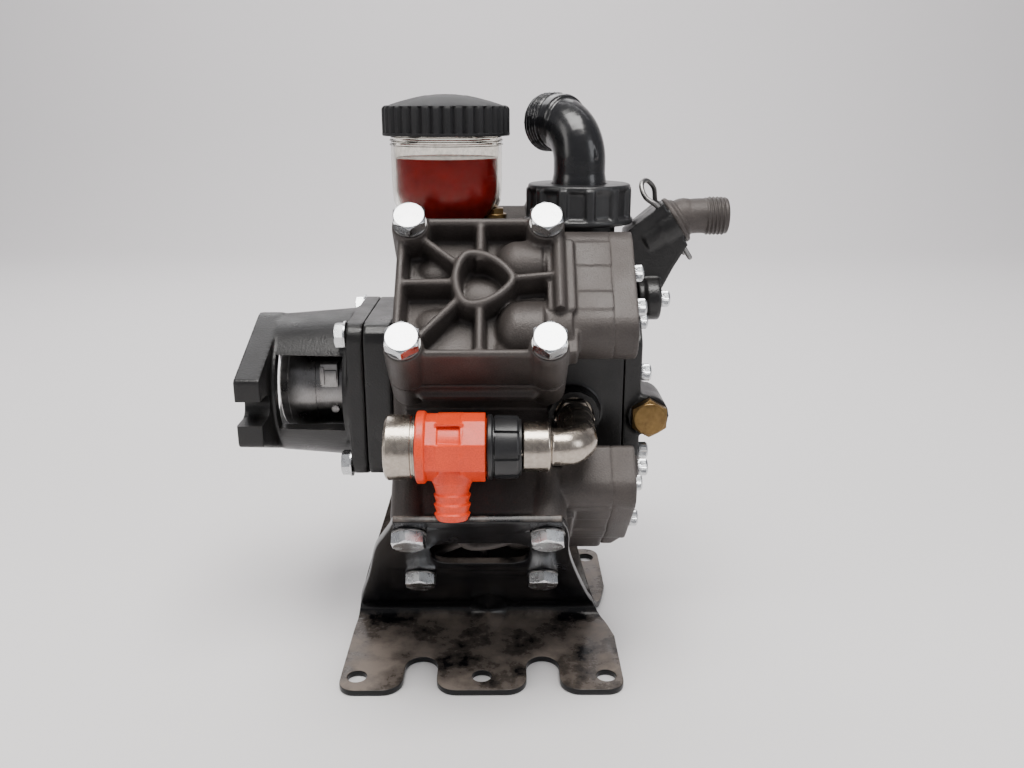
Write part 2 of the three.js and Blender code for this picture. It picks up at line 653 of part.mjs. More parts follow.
// The foot seen from above: three round-cornered tabs with arched notches between them.
function footOutline(flip) {
  const notch = (x0, x1) => {
    const r = (x1 - x0) / 2;
    const roof = [0, 60, 120, 180].map(radians).map((a) => [x0 + r - r * Math.cos(a), -66 + 11 * Math.sin(a)]);
    return [[x0 - 12, FOOT_EDGE], [x0 - 3.5, FOOT_EDGE + 3.5], [x0, FOOT_EDGE + 12], ...roof,
      [x1, FOOT_EDGE + 12], [x1 + 3.5, FOOT_EDGE + 3.5], [x1 + 12, FOOT_EDGE]];
  };
  const pairs = [
    [-81, 20], [-FOOT_HALF, -12], [-FOOT_HALF, FOOT_EDGE + 8], [-FOOT_HALF + 8, FOOT_EDGE], ...notch(-47, -27),
    ...notch(27, 47), [FOOT_HALF - 8, FOOT_EDGE], [FOOT_HALF, FOOT_EDGE + 8], [FOOT_HALF, -27], [77, -4], [69, 20],
  ];
  return polygon(pairs.map(([x, y]) => [flip * x, y]));
}

function footBracket(flip) {
  const bent = solid(onX(prism(bracketSection(), -FOOT_HALF, FOOT_HALF)));
  const seat = BOSS_TOP - 2;
  const slope = join(
    solid(turned(prism(slopedOutline(flip), seat, seat + PLATE + 6), 135)),
    solid(box(-90, 90, -100, 20, -SHAFT_HEIGHT - 1, -SHAFT_HEIGHT + 22)),
  );
  const foot = join(
    solid(prism(footOutline(flip), -SHAFT_HEIGHT - 1, -SHAFT_HEIGHT + PLATE + 1)),
    solid(box(-90, 90, -130, 20, -SHAFT_HEIGHT + PLATE + 0.5, 0)),
  );
  const [holeX, holeY] = FOOT_HOLE;
  const window = turned(prism(outline([[-16, -6, 12], [16, -6, 12], [16, 8, 12], [-16, 8, 12]], 45), seat, seat + 12), 135);
  return cut(
    bent.intersect(slope).intersect(foot),
    ...[-holeX, 0, holeX].map((x) => solid(rod(5.8, -SHAFT_HEIGHT - 1, -SHAFT_HEIGHT + 6, 12).translate(x, holeY, 0))),
    ...boltPlaces.map(([x, y]) => solid(turned(rod(BOLT_R + 1, seat, seat + 12, 6).translate(x, y, 0), 135))),
    solid(window),
  );
}

// ---------------------------------------------------------------- assembly
const pump = new THREE.Group();
pump.position.set(-MID_LENGTH, -MID_WIDTH, SHAFT_HEIGHT);

function place(parent, name, shape, material) {
  const mesh = meshOf(name, shape, material);
  parent.add(mesh);
  return mesh;
}

place(pump, 'crankcase', crankcase(), cast);
place(pump, 'rear_manifold', rearManifold(), darkCast);
place(pump, 'manifold_cover', manifoldCover(), darkCast);
place(pump, 'drive_end_cover', driveEndCover(), darkCast);
place(pump, 'motor_adapter', motorAdapter(), darkCast);

for (const [where, turn] of Object.entries(HEAD_TURN)) {
  const group = new THREE.Group();
  group.rotation.x = radians(turn);
  pump.add(group);
  const isLower = where.endsWith('lower');
  const seat = isLower ? BOSS_TOP + GAP + PLATE : BOSS_TOP;
  place(group, `head_${where}`, head(isLower), cast);
  place(group, `valve_cover_${where}`, valveCover(isLower), cast);
  place(group, `diaphragm_${where}`, diaphragm(), rubber);
  place(group, `piston_${where}`, piston(), steel);
  boltPlaces.forEach(([x, y], i) => {
    place(group, `head_bolt_${where}_${i + 1}`, headBolt(seat), zinc).position.set(x, y, 0);
  });
}

place(pump, 'foot_front', footBracket(1), blackPaint);
place(pump, 'foot_rear', footBracket(-1), blackPaint).rotation.z = Math.PI;

place(pump, 'crankshaft', crankshaft(), steel);
place(pump, 'coupling_sleeve', couplingSleeve(), steel);
place(pump, 'front_bearing', solid(onX(ring(JOURNAL_R + GAP, BEARING_R, -61.6, -51.3))), steel);
place(pump, 'rear_bearing', solid(onX(ring(JOURNAL_R + GAP, BEARING_R, 26.3, 36.6))), steel);
place(pump, 'shaft_seal', solid(onX(ring(JOURNAL_R + GAP, 17.7, -66.4, -63.2))), rubber);

const reservoir = new THREE.Group();
reservoir.position.x = BOWL_X;
pump.add(reservoir);
place(reservoir, 'reservoir_bowl', reservoirBowl(), clearPlastic);
place(reservoir, 'cap_seal', capSeal(), rubber);
place(reservoir, 'reservoir_cap', reservoirCap(), blackPlastic);

const suction = new THREE.Group();
suction.position.x = SUCTION_X;
pump.add(suction);
place(suction, 'suction_nut', suctionNut(), blackPlastic);
place(suction, 'suction_elbow', suctionElbow(), blackPlastic);

place(pump, 'outlet_socket', outletSocket(), darkCast);
place(pump, 'outlet_tail', outletTail(), darkCast);
place(pump, 'outlet_u_pin', outletPin(), steel);

place(pump, 'relief_body', reliefBody(), orangePlastic);
place(pump, 'relief_cap', reliefCap(), nickel);
place(pump, 'relief_poppet', reliefPoppet(), brass);
place(pump, 'relief_spring', reliefSpring(), steel);
place(pump, 'relief_union_nut', unionNut(), blackPlastic);
place(pump, 'relief_elbow', reliefElbow(), nickel);
place(pump, 'relief_nipple', reliefNipple(), nickel);
place(pump, 'brass_plug', brassPlug(), brass);

export default pump;
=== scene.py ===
# Pressure washer pump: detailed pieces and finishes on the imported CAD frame.
# Shapes are in millimetres from the middle of the crankshaft, with X along it and Z up.
import json
import math

import bpy
import bmesh
import numpy as np
from mathutils import Matrix, Vector


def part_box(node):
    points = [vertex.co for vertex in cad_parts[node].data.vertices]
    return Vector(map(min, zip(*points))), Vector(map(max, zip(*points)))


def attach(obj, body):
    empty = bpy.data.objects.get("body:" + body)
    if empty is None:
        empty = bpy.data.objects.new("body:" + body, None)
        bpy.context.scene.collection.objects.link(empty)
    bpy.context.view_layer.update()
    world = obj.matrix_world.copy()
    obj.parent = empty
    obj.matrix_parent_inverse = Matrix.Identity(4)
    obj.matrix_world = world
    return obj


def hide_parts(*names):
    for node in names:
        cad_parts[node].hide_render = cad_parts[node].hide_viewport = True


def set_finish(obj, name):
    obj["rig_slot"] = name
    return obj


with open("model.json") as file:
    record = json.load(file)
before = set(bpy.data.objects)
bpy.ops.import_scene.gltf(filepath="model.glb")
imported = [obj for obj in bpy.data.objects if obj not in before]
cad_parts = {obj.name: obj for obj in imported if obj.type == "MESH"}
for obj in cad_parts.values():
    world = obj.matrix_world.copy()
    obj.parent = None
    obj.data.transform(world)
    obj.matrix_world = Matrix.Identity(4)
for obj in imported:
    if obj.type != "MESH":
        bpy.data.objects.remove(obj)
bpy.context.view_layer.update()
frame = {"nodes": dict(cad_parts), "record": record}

CENTRE = Vector((-0.00525, 0.00364, 0.167))
UPRIGHT = Matrix.Translation(CENTRE)
TURNS = {"front_upper": 45, "front_lower": 135, "rear_lower": 225, "rear_upper": 315}
COARSE = 1.0


def turned(degrees):
    return UPRIGHT @ Matrix.Rotation(math.radians(degrees), 4, "X")


# ------------------------------------------------------------------ shapes: (vertices, faces)
def merge(*parts):
    points, faces, count = [], [], 0
    for v, f in parts:
        points.append(v)
        faces += [tuple(i + count for i in face) for face in f]
        count += len(v)
    return np.vstack(points), faces


def move(part, x=0, y=0, z=0):
    return part[0] + np.array([x, y, z], float), part[1]


def spun(part, axis, degrees):
    m = np.array(Matrix.Rotation(math.radians(degrees), 3, axis))
    return part[0] @ m.T, part[1]


def on_x(part):
    v = part[0]
    return np.stack([v[:, 2], v[:, 0], v[:, 1]], 1), part[1]


def on_y(part):
    v = part[0]
    return np.stack([v[:, 1], v[:, 2], v[:, 0]], 1), part[1]


def lathe(profile, n=64, wobble=None):
    """Revolution about Z of (r, z) pairs: from axis to axis, or a closed loop off the axis."""
    angle = np.arange(n) * 2 * math.pi / n
    points, rows = [], []
    for r, z in profile:
        if r < 1e-6:
            rows.append([len(points)] * n)
            points.append((0, 0, z))
            continue
        rr = np.full(n, float(r)) if wobble is None else wobble(r, z, angle)
        rows.append(list(range(len(points), len(points) + n)))
        points += [(rr[k] * math.cos(a), rr[k] * math.sin(a), z) for k, a in enumerate(angle)]
    if profile[0][0] > 1e-6:
        rows.append(rows[0])
    faces = []
    for low, high in zip(rows, rows[1:]):
        for k in range(n):
            j = (k + 1) % n
            face = [low[k], low[j], high[j], high[k]]
            face = [p for i, p in enumerate(face) if p not in face[:i]]
            if len(face) > 2:
                faces.append(tuple(face))
    return np.array(points, float), faces


def rod(r, z0, z1, n=48, top=None, edge=0.0):
    t = r if top is None else top
    profile = [(0, z0), (r - edge, z0), (r, z0 + edge), (t, z1 - edge), (t - edge, z1), (0, z1)]
    if edge == 0:
        profile = [(0, z0), (r, z0), (t, z1), (0, z1)]
    return lathe(profile, n)


def ring(r0, r1, z0, z1, n=64, edge=0.3):
    e = edge
    return lathe([(r0, z0 + e), (r0 + e, z0), (r1 - e, z0), (r1, z0 + e), (r1, z1 - e), (r1 - e, z1),
                  (r0 + e, z1), (r0, z1 - e)], n)


def prism(outline, z0, z1):
    n = len(outline)
    points = [(x, y, z0) for x, y in outline] + [(x, y, z1) for x, y in outline]
    faces = [tuple(range(n - 1, -1, -1)), tuple(range(n, 2 * n))]
    faces += [(k, (k + 1) % n, n + (k + 1) % n, n + k) for k in range(n)]
    return np.array(points, float), faces


def box(x0, x1, y0, y1, z0, z1):
    return prism([(x0, y0), (x1, y0), (x1, y1), (x0, y1)], z0, z1)


def hull(circles, step=10):
    """Outline round circles (x, y, r) given counter-clockwise."""
    pts = []
    n = len(circles)
    normals = []
    for i, (x, y, r) in enumerate(circles):
        nx, ny, nr = circles[(i + 1) % n]
        d = math.hypot(nx - x, ny - y)
        normals.append(math.atan2(ny - y, nx - x) - math.acos((r - nr) / d))
    for i, (x, y, r) in enumerate(circles):
        a = normals[i - 1]
        sweep = (normals[i] - a) % (2 * math.pi)
        steps = max(1, round(sweep / math.radians(step))) if r > 0 else 0
        for k in range(steps + 1):
            t = a + (sweep * k / steps if steps else 0)
            pts.append((x + r * math.cos(t), y + r * math.sin(t)))
    return pts


def rrect(x0, x1, y0, y1, r, step=10):
    return hull([(x0 + r, y0 + r, r), (x1 - r, y0 + r, r), (x1 - r, y1 - r, r), (x0 + r, y1 - r, r)], step)


def curve(points, steps):
    """Catmull-Rom points through a list of points."""
    p = [np.array(q, float) for q in points]
    p = [2 * p[0] - p[1]] + p + [2 * p[-1] - p[-2]]
    out = []
    for i in range(1, len(p) - 2):
        for k in range(steps):
            t = k / steps
            a, b, c, d = p[i - 1], p[i], p[i + 1], p[i + 2]
            out.append(0.5 * (2 * b + (c - a) * t + (2 * a - 5 * b + 4 * c - d) * t * t
                              + (3 * b - a - 3 * c + d) * t ** 3))
    out.append(p[-2])
    return out


def tube(points, radius, n=32, closed=False, round_ends=False):
    """A round bar along points; radius is a number or one for each point."""
    p = [Vector(q) for q in points]
    radii = [radius] * len(p) if np.isscalar(radius) else list(radius)
    if round_ends:
        for at, inward in ((0, 1), (-1, -2)):
            r = radii[at]
            d = (p[at] - p[inward]).normalized()
            extra = [(p[at] + d * r * math.sin(a), r * math.cos(a)) for a in (0.5, 1.0, 1.35)]
            if at == 0:
                p = [e[0] for e in reversed(extra)] + p
                radii = [e[1] for e in reversed(extra)] + radii
            else:
                p += [e[0] for e in extra]
                radii += [e[1] for e in extra]
    verts, faces = [], []
    side = None
    for i, c in enumerate(p):
        if closed:
            d = (p[(i + 1) % len(p)] - p[i - 1]).normalized()
        else:
            d = (p[min(i + 1, len(p) - 1)] - p[max(i - 1, 0)]).normalized()
        if side is None:
            side = d.orthogonal().normalized()
        side = (side - d * side.dot(d)).normalized()
        other = d.cross(side)
        for k in range(n):
            a = 2 * math.pi * k / n
            q = c + (side * math.cos(a) + other * math.sin(a)) * radii[i]
            verts.append(tuple(q))
    count = len(p)
    for i in range(count if closed else count - 1):
        j = (i + 1) % count
        for k in range(n):
            m = (k + 1) % n
            faces.append((i * n + k, i * n + m, j * n + m, j * n + k))
    if not closed:
        faces.append(tuple(range(n - 1, -1, -1)))
        faces.append(tuple(range((count - 1) * n, count * n)))
    return np.array(verts, float), faces


def bar(x0, y0, x1, y1, width, low, high, draft=0.08):
    """A cast rib between two points: drafted sides and a rounded top."""
    half = width / 2
    foot = half + (high - low) * draft
    section = [(-foot, low), (foot, low)]
    section += [(half * math.cos(a), high - half + half * math.sin(a))
                for a in np.radians([0, 30, 60, 90, 120, 150, 180])]
    length = math.hypot(x1 - x0, y1 - y0)
    part = prism(section, 0, length)
    v = part[0]
    part = (np.stack([v[:, 2], -v[:, 0], v[:, 1]], 1), part[1])
    return move(spun(part, "Z", math.degrees(math.atan2(y1 - y0, x1 - x0))), x0, y0)


def dome(x, y, z, rx, ry, rz, n=32):
    """An ellipsoid."""
    rows = [(math.cos(a), math.sin(a)) for a in np.linspace(-math.pi / 2, math.pi / 2, n // 2)]
    part = lathe([(0, -1)] + rows[1:-1] + [(0, 1)], n)
    return part[0] * np.array([rx, ry, rz]) + np.array([x, y, z]), part[1]


def hex_head(flats, z0, z1, dish=0.5, n=72):
    """A hexagonal bolt head, its top corners turned to a cone and its middle dished."""
    apothem = flats / 2

    def rim(r, z, angle):
        wide = apothem / np.cos((angle + math.pi / 6) % (math.pi / 3) - math.pi / 6)
        return np.minimum(wide, r)
    full = apothem * 1.16
    profile = [(0, z0), (full, z0), (full, z1 - (full - apothem * 0.95) * 0.55)]
    for k in range(1, 5):
        r = full + (apothem * 0.95 - full) * k / 4
        profile.append((r, z1 - (r - apothem * 0.95) * 0.55))
    profile += [(apothem * 0.80, z1), (apothem * 0.66, z1 - dish), (0, z1 - dish)]
    return lathe(profile, n, rim)


def socket_screw(r, height, z0):
    """A cylindrical socket head with a knurled side and a hexagonal recess in its top."""
    def knurl(radius, z, angle):
        rough = 0.25 if z0 + 0.5 < z < z0 + height - 1 and radius > r - 0.1 else 0.0
        return radius - rough * (np.arange(len(angle)) % 2)
    flats = r * 0.52

    def six(radius, z, angle):
        if radius > flats + 0.4:
            return knurl(radius, z, angle)
        return np.full(len(angle), radius) / np.cos(angle % (math.pi / 3) - math.pi / 6)
    top = z0 + height
    profile = [(0, z0), (r - 0.4, z0), (r, z0 + 0.6), (r, z0 + height * 0.4), (r, top - 1.1),
               (r - 0.6, top - 0.3), (r - 1.1, top), (flats + 0.5, top), (flats, top - 0.3),
               (flats, top - height * 0.55), (0, top - height * 0.62)]
    return lathe(profile, 72, six)


def thread(r, depth, pitch, z0, z1, n=56):
    """A round bar with a helical thread."""
    rows = np.arange(z0, z1 + 1e-6, pitch / 8)

    def helix(radius, z, angle):
        phase = (z / pitch - angle / (2 * math.pi)) % 1
        wave = np.abs(phase * 2 - 1)
        fade = min(1.0, (z1 - z) / pitch, (z - z0) / pitch + 0.15)
        return radius - depth * (1 - wave * max(fade, 0.15))
    return lathe([(0, z0)] + [(r, z) for z in rows] + [(0, z1)], n, helix)


# ------------------------------------------------------------------ objects
def raw(name, part, matrix):
    mesh = bpy.data.meshes.new(name)
    mesh.from_pydata([tuple(p) for p in part[0] * 0.001], [], part[1])
    bm = bmesh.new()
    bm.from_mesh(mesh)
    bmesh.ops.remove_doubles(bm, verts=bm.verts, dist=1e-7)
    bmesh.ops.dissolve_degenerate(bm, edges=bm.edges, dist=1e-7)
    bmesh.ops.recalc_face_normals(bm, faces=bm.faces)
    bm.to_mesh(mesh)
    bm.free()
    ob = bpy.data.objects.new(name, mesh)
    ob.matrix_world = matrix
    bpy.context.scene.collection.objects.link(ob)
    return ob


def bake(ob):
    """Applies the object's modifiers."""
    bpy.context.view_layer.update()
    made = bpy.data.meshes.new_from_object(ob.evaluated_get(bpy.context.evaluated_depsgraph_get()))
    ob.modifiers.clear()
    ob.data = made


def drill(ob, cuts, matrix):
    """Takes the cuts, given in the matrix's frame, out of the object."""
    tools = []
    for cut in cuts:
        tool = raw("cutter", cut, matrix)
        m = ob.modifiers.new("cut", "BOOLEAN")
        m.operation = "DIFFERENCE"
        m.object = tool
        m.solver = "EXACT"
        tools.append(tool)
    bake(ob)
    for tool in tools:
        bpy.data.objects.remove(tool)


def round_edges(ob, width, segments, least_angle):
    """Rounds the edges that turn by more than least_angle degrees."""
    m = ob.modifiers.new("edges", "BEVEL")
    m.width = width * 0.001
    m.segments = segments
    m.limit_method = "ANGLE"
    m.angle_limit = math.radians(least_angle)
    m.use_clamp_overlap = True
    bake(ob)


def piece(name, part, material, body="casing", slot=None, replaces=(), matrix=UPRIGHT, voxel=None, smooth=3,
          cuts=(), bevel=None, sharp=38):
    """Makes a finished piece. voxel melts overlapping shapes into one casting, cuts are machined after it."""
    ob = raw(name, part, matrix)
    if voxel:
        m = ob.modifiers.new("melt", "REMESH")
        m.mode = "VOXEL"
        m.voxel_size = voxel * 0.001 * COARSE
        m.use_smooth_shade = True
        m = ob.modifiers.new("soften", "SMOOTH")
        m.factor = 0.5
        m.iterations = max(1, round(smooth / COARSE))
        bake(ob)
    if bevel:
        round_edges(ob, bevel, 2, 32)
    if cuts:
        drill(ob, cuts, matrix)
    finish_piece(ob, material, body, slot, replaces, sharp)
    return ob


def finish_piece(ob, material, body, slot, replaces, sharp=38):
    ob.data.materials.clear()
    ob.data.materials.append(material)
    ob.data.polygons.foreach_set("use_smooth", [True] * len(ob.data.polygons))
    ob.data.set_sharp_from_angle(angle=math.radians(sharp))
    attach(ob, body)
    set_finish(ob, slot or material["slot"])
    if replaces:
        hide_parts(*replaces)


def again(name, first, matrix, body, replaces=()):
    """The same mesh in another place."""
    ob = bpy.data.objects.new(name, first.data)
    ob.matrix_world = matrix
    bpy.context.scene.collection.objects.link(ob)
    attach(ob, body)
    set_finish(ob, first["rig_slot"])
    if replaces:
        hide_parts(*replaces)
    return ob


def cad_part(node):
    """A CAD node's mesh in millimetres from the shaft."""
    me = frame["nodes"][node].data
    v = np.array([(p.co - CENTRE)[:] for p in me.vertices], float) * 1000
    return v, [tuple(p.vertices) for p in me.polygons]


# ------------------------------------------------------------------ materials
def material(name, slot, base, rough, metal=0.0, other=None, blotch=40, blend=0.5, grain=900, bump=0.2,
             depth=0.0002, wear=None, wear_from=0.56, rough_vary=0.12, coat=0.0, transmission=0.0, ior=1.5,
             detail=3, painted_top_sheen=None, specular=0.5, streak=None):
    mat = bpy.data.materials.new(name)
    mat["slot"] = slot
    mat.use_nodes = True
    nodes, links = mat.node_tree.nodes, mat.node_tree.links
    shader = nodes["Principled BSDF"]
    shader.inputs["Metallic"].default_value = metal
    shader.inputs["Coat Weight"].default_value = coat
    shader.inputs["Coat Roughness"].default_value = 0.08
    shader.inputs["Transmission Weight"].default_value = transmission
    shader.inputs["IOR"].default_value = ior
    shader.inputs["Specular IOR Level"].default_value = specular
    place = nodes.new("ShaderNodeTexCoord")
    large = nodes.new("ShaderNodeTexNoise")
    large.inputs["Scale"].default_value = blotch
    large.inputs["Detail"].default_value = 4
    links.new(place.outputs["Object"], large.inputs["Vector"])
    fine = nodes.new("ShaderNodeTexNoise")
    fine.inputs["Scale"].default_value = grain
    fine.inputs["Detail"].default_value = detail
    links.new(place.outputs["Object"], fine.inputs["Vector"])
    if streak:
        stretch = nodes.new("ShaderNodeMapping")
        stretch.inputs["Scale"].default_value = streak
        links.new(place.outputs["Object"], stretch.inputs["Vector"])
        links.new(stretch.outputs[0], fine.inputs["Vector"])

    def ramp(source, low, high):
        node = nodes.new("ShaderNodeMapRange")
        node.inputs["From Min"].default_value = low
        node.inputs["From Max"].default_value = high
        links.new(source, node.inputs["Value"])
        return node.outputs["Result"]

    def mix(factor, first, second, mode="MIX"):
        node = nodes.new("ShaderNodeMix")
        node.data_type = "RGBA"
        node.blend_type = mode
        links.new(factor, node.inputs["Factor"])
        for socket, value in ((node.inputs["A"], first), (node.inputs["B"], second)):
            if isinstance(value, tuple):
                socket.default_value = (*value, 1)
            else:
                links.new(value, socket)
        return node.outputs["Result"]

    other = other or tuple(c * 0.7 for c in base)
    colour = mix(ramp(large.outputs["Fac"], 0.5 - blend / 2, 0.5 + blend / 2), other, base)
    speck = ramp(fine.outputs["Fac"], 0.2, 0.8)
    dark = nodes.new("ShaderNodeMapRange")
    dark.inputs["To Min"].default_value = 0.72
    dark.inputs["To Max"].default_value = 1.12
    links.new(speck, dark.inputs["Value"])
    scaled = nodes.new("ShaderNodeVectorMath")
    scaled.operation = "SCALE"
    links.new(colour, scaled.inputs[0])
    links.new(dark.outputs["Result"], scaled.inputs["Scale"])
    colour = scaled.outputs["Vector"]
    geometry = nodes.new("ShaderNodeNewGeometry")
    if wear:
        edge = nodes.new("ShaderNodeMath")
        edge.operation = "MULTIPLY"
        links.new(ramp(geometry.outputs["Pointiness"], wear_from, wear_from + 0.06), edge.inputs[0])
        links.new(ramp(large.outputs["Fac"], 0.4, 0.62), edge.inputs[1])
        colour = mix(edge.outputs[0], colour, wear)
    # painted sheen: faces turned upwards get a lighter colour in noisy patches, painted light from above, and
    # a rougher finish
    if painted_top_sheen:
        facing = nodes.new("ShaderNodeSeparateXYZ")
        links.new(geometry.outputs["Normal"], facing.inputs[0])
        sheen_patches = nodes.new("ShaderNodeTexNoise")
        sheen_patches.inputs["Scale"].default_value = 38
        sheen_patches.inputs["Detail"].default_value = 8
        sheen_patches.inputs["Roughness"].default_value = 0.65
        links.new(place.outputs["Object"], sheen_patches.inputs["Vector"])
        both = nodes.new("ShaderNodeMath")
        both.operation = "MULTIPLY"
        links.new(ramp(facing.outputs["Z"], 0.3, 0.95), both.inputs[0])
        links.new(ramp(sheen_patches.outputs["Fac"], 0.36, 0.62), both.inputs[1])
        colour = mix(both.outputs[0], colour, painted_top_sheen)
        painted_sheen_mask = both.outputs[0]
    links.new(colour, shader.inputs["Base Color"])
    gloss = nodes.new("ShaderNodeMapRange")
    gloss.inputs["To Min"].default_value = max(0.02, rough - rough_vary)
    gloss.inputs["To Max"].default_value = min(1.0, rough + rough_vary)
    links.new(ramp(large.outputs["Fac"], 0.25, 0.75), gloss.inputs["Value"])
    value = gloss.outputs["Result"]
    # the painted sheen's mask also raises the roughness
    if painted_top_sheen:
        dull = nodes.new("ShaderNodeMath")
        dull.operation = "MAXIMUM"
        matt = nodes.new("ShaderNodeMath")
        matt.operation = "MULTIPLY"
        matt.inputs[1].default_value = 0.62
        links.new(painted_sheen_mask, matt.inputs[0])
        links.new(value, dull.inputs[0])
        links.new(matt.outputs[0], dull.inputs[1])
        value = dull.outputs[0]
    links.new(value, shader.inputs["Roughness"])
    if bump:
        rise = nodes.new("ShaderNodeBump")
        rise.inputs["Strength"].default_value = bump
        rise.inputs["Distance"].default_value = depth
        links.new(fine.outputs["Fac"], rise.inputs["Height"])
        links.new(rise.outputs["Normal"], shader.inputs["Normal"])
    return mat


CAST = material("cast", "cast_aluminium", (0.074, 0.063, 0.058), 0.50, 0.35, (0.048, 0.041, 0.038), 45, 0.5,
                1100, 0.55, 0.0004, wear=(0.30, 0.27, 0.25), wear_from=0.555, detail=4)
DARK_CAST = material("dark_cast", "black_casting", (0.011, 0.0105, 0.0105), 0.36, 0.10,
                     (0.007, 0.0065, 0.0065), 60, 0.5, 900, 0.4, 0.0004, wear=(0.06, 0.055, 0.052),
                     wear_from=0.57, detail=4)
# the enamel's upward faces are lightened by a painted sheen (painted light from above)
PAINT = material("black_enamel", "black_paint", (0.006, 0.006, 0.007), 0.24, 0.0, (0.004, 0.004, 0.005), 30,
                 0.6, 260, 0.06, 0.0003, wear=(0.15, 0.12, 0.10), wear_from=0.60, rough_vary=0.05,
                 specular=0.3, painted_top_sheen=(0.200, 0.165, 0.140))
ZINC = material("zinc_plate", "zinc", (0.78, 0.79, 0.80), 0.26, 1.0, (0.62, 0.63, 0.64), 160, 0.5, 1500,
                0.10, 0.0001, wear=(0.35, 0.33, 0.30), wear_from=0.62, rough_vary=0.08)
NICKEL = material("nickel_plate", "nickel", (0.50, 0.44, 0.37), 0.24, 1.0, (0.42, 0.37, 0.32), 120, 0.5,
                  500, 0.22, 0.0003, wear=(0.75, 0.70, 0.62), wear_from=0.57, rough_vary=0.08)
STEEL = material("bare_steel", "steel", (0.34, 0.335, 0.33), 0.32, 1.0, (0.20, 0.19, 0.185), 90, 0.5, 600,
                 0.15, 0.0002, rough_vary=0.1, streak=(6, 1, 1))
BRASS = material("dull_brass", "brass", (0.24, 0.155, 0.062), 0.40, 1.0, (0.14, 0.088, 0.040), 140, 0.5,
                 500, 0.15, 0.0002)
BLACK = material("moulded_black", "black_plastic", (0.016, 0.016, 0.017), 0.36, 0.0, (0.011, 0.011, 0.012),
                 50, 0.5, 1400, 0.25, 0.0002, wear=(0.06, 0.058, 0.056), wear_from=0.58, rough_vary=0.07)
SATIN = material("satin_black", "black_plastic", (0.014, 0.014, 0.015), 0.55, 0.0, (0.010, 0.010, 0.011),
                 50, 0.5, 1400, 0.3, 0.0002, wear=(0.06, 0.058, 0.056), wear_from=0.58, rough_vary=0.06,
                 specular=0.25)
GLOSS = material("glossy_black", "gloss_black_plastic", (0.009, 0.009, 0.010), 0.25, 0.0,
                 (0.006, 0.006, 0.007), 50, 0.5, 350, 0.10, 0.0003, rough_vary=0.05, coat=0.15)
ORANGE = material("moulded_orange", "orange_plastic", (0.86, 0.060, 0.010), 0.40, 0.0, (0.74, 0.045, 0.008),
                  70, 0.5, 1300, 0.25, 0.0002, rough_vary=0.08)
CLEAR = material("clear_bowl", "clear_plastic", (0.97, 0.95, 0.90), 0.03, 0.0, (0.94, 0.92, 0.86), 60, 0.5,
                 300, 0.0, 0.0002, transmission=1.0, ior=1.2, rough_vary=0.01)
RUBBER = material("seal_rubber", "rubber", (0.013, 0.013, 0.013), 0.7, 0.0, None, 60, 0.5, 1200, 0.3, 0.0002)
OIL = material("red_oil", "clear_plastic", (0.30, 0.012, 0.010), 0.10, 0.0, (0.21, 0.008, 0.007), 14, 0.8,
               30, 0.0, ior=1.35, rough_vary=0.02, specular=0.3)

SLOT_FINISH = {"cast_aluminium": CAST, "black_casting": DARK_CAST, "black_paint": PAINT, "zinc": ZINC,
               "nickel": NICKEL, "steel": STEEL, "brass": BRASS, "black_plastic": BLACK,
               "gloss_black_plastic": GLOSS, "orange_plastic": ORANGE, "clear_plastic": CLEAR,
               "rubber": RUBBER}

# ------------------------------------------------------------------ heads
BOLTS = [(x, t) for x in (-37, 37) for t in (-38, 38)]
HOUSING = [(68, -20, 3), (82, -13, 16), (86, 35, 12), (68, 44, 3)]


def section(grow=0.0):
    """The valve housing's section as (t, radius) points for a prism turned onto X."""
    return [(y, x) for x, y in hull([(x, y, r + grow) for x, y, r in HOUSING], 8)][::-1]


def along_x(outline, x0, x1):
    return on_x(prism(outline, x0, x1))


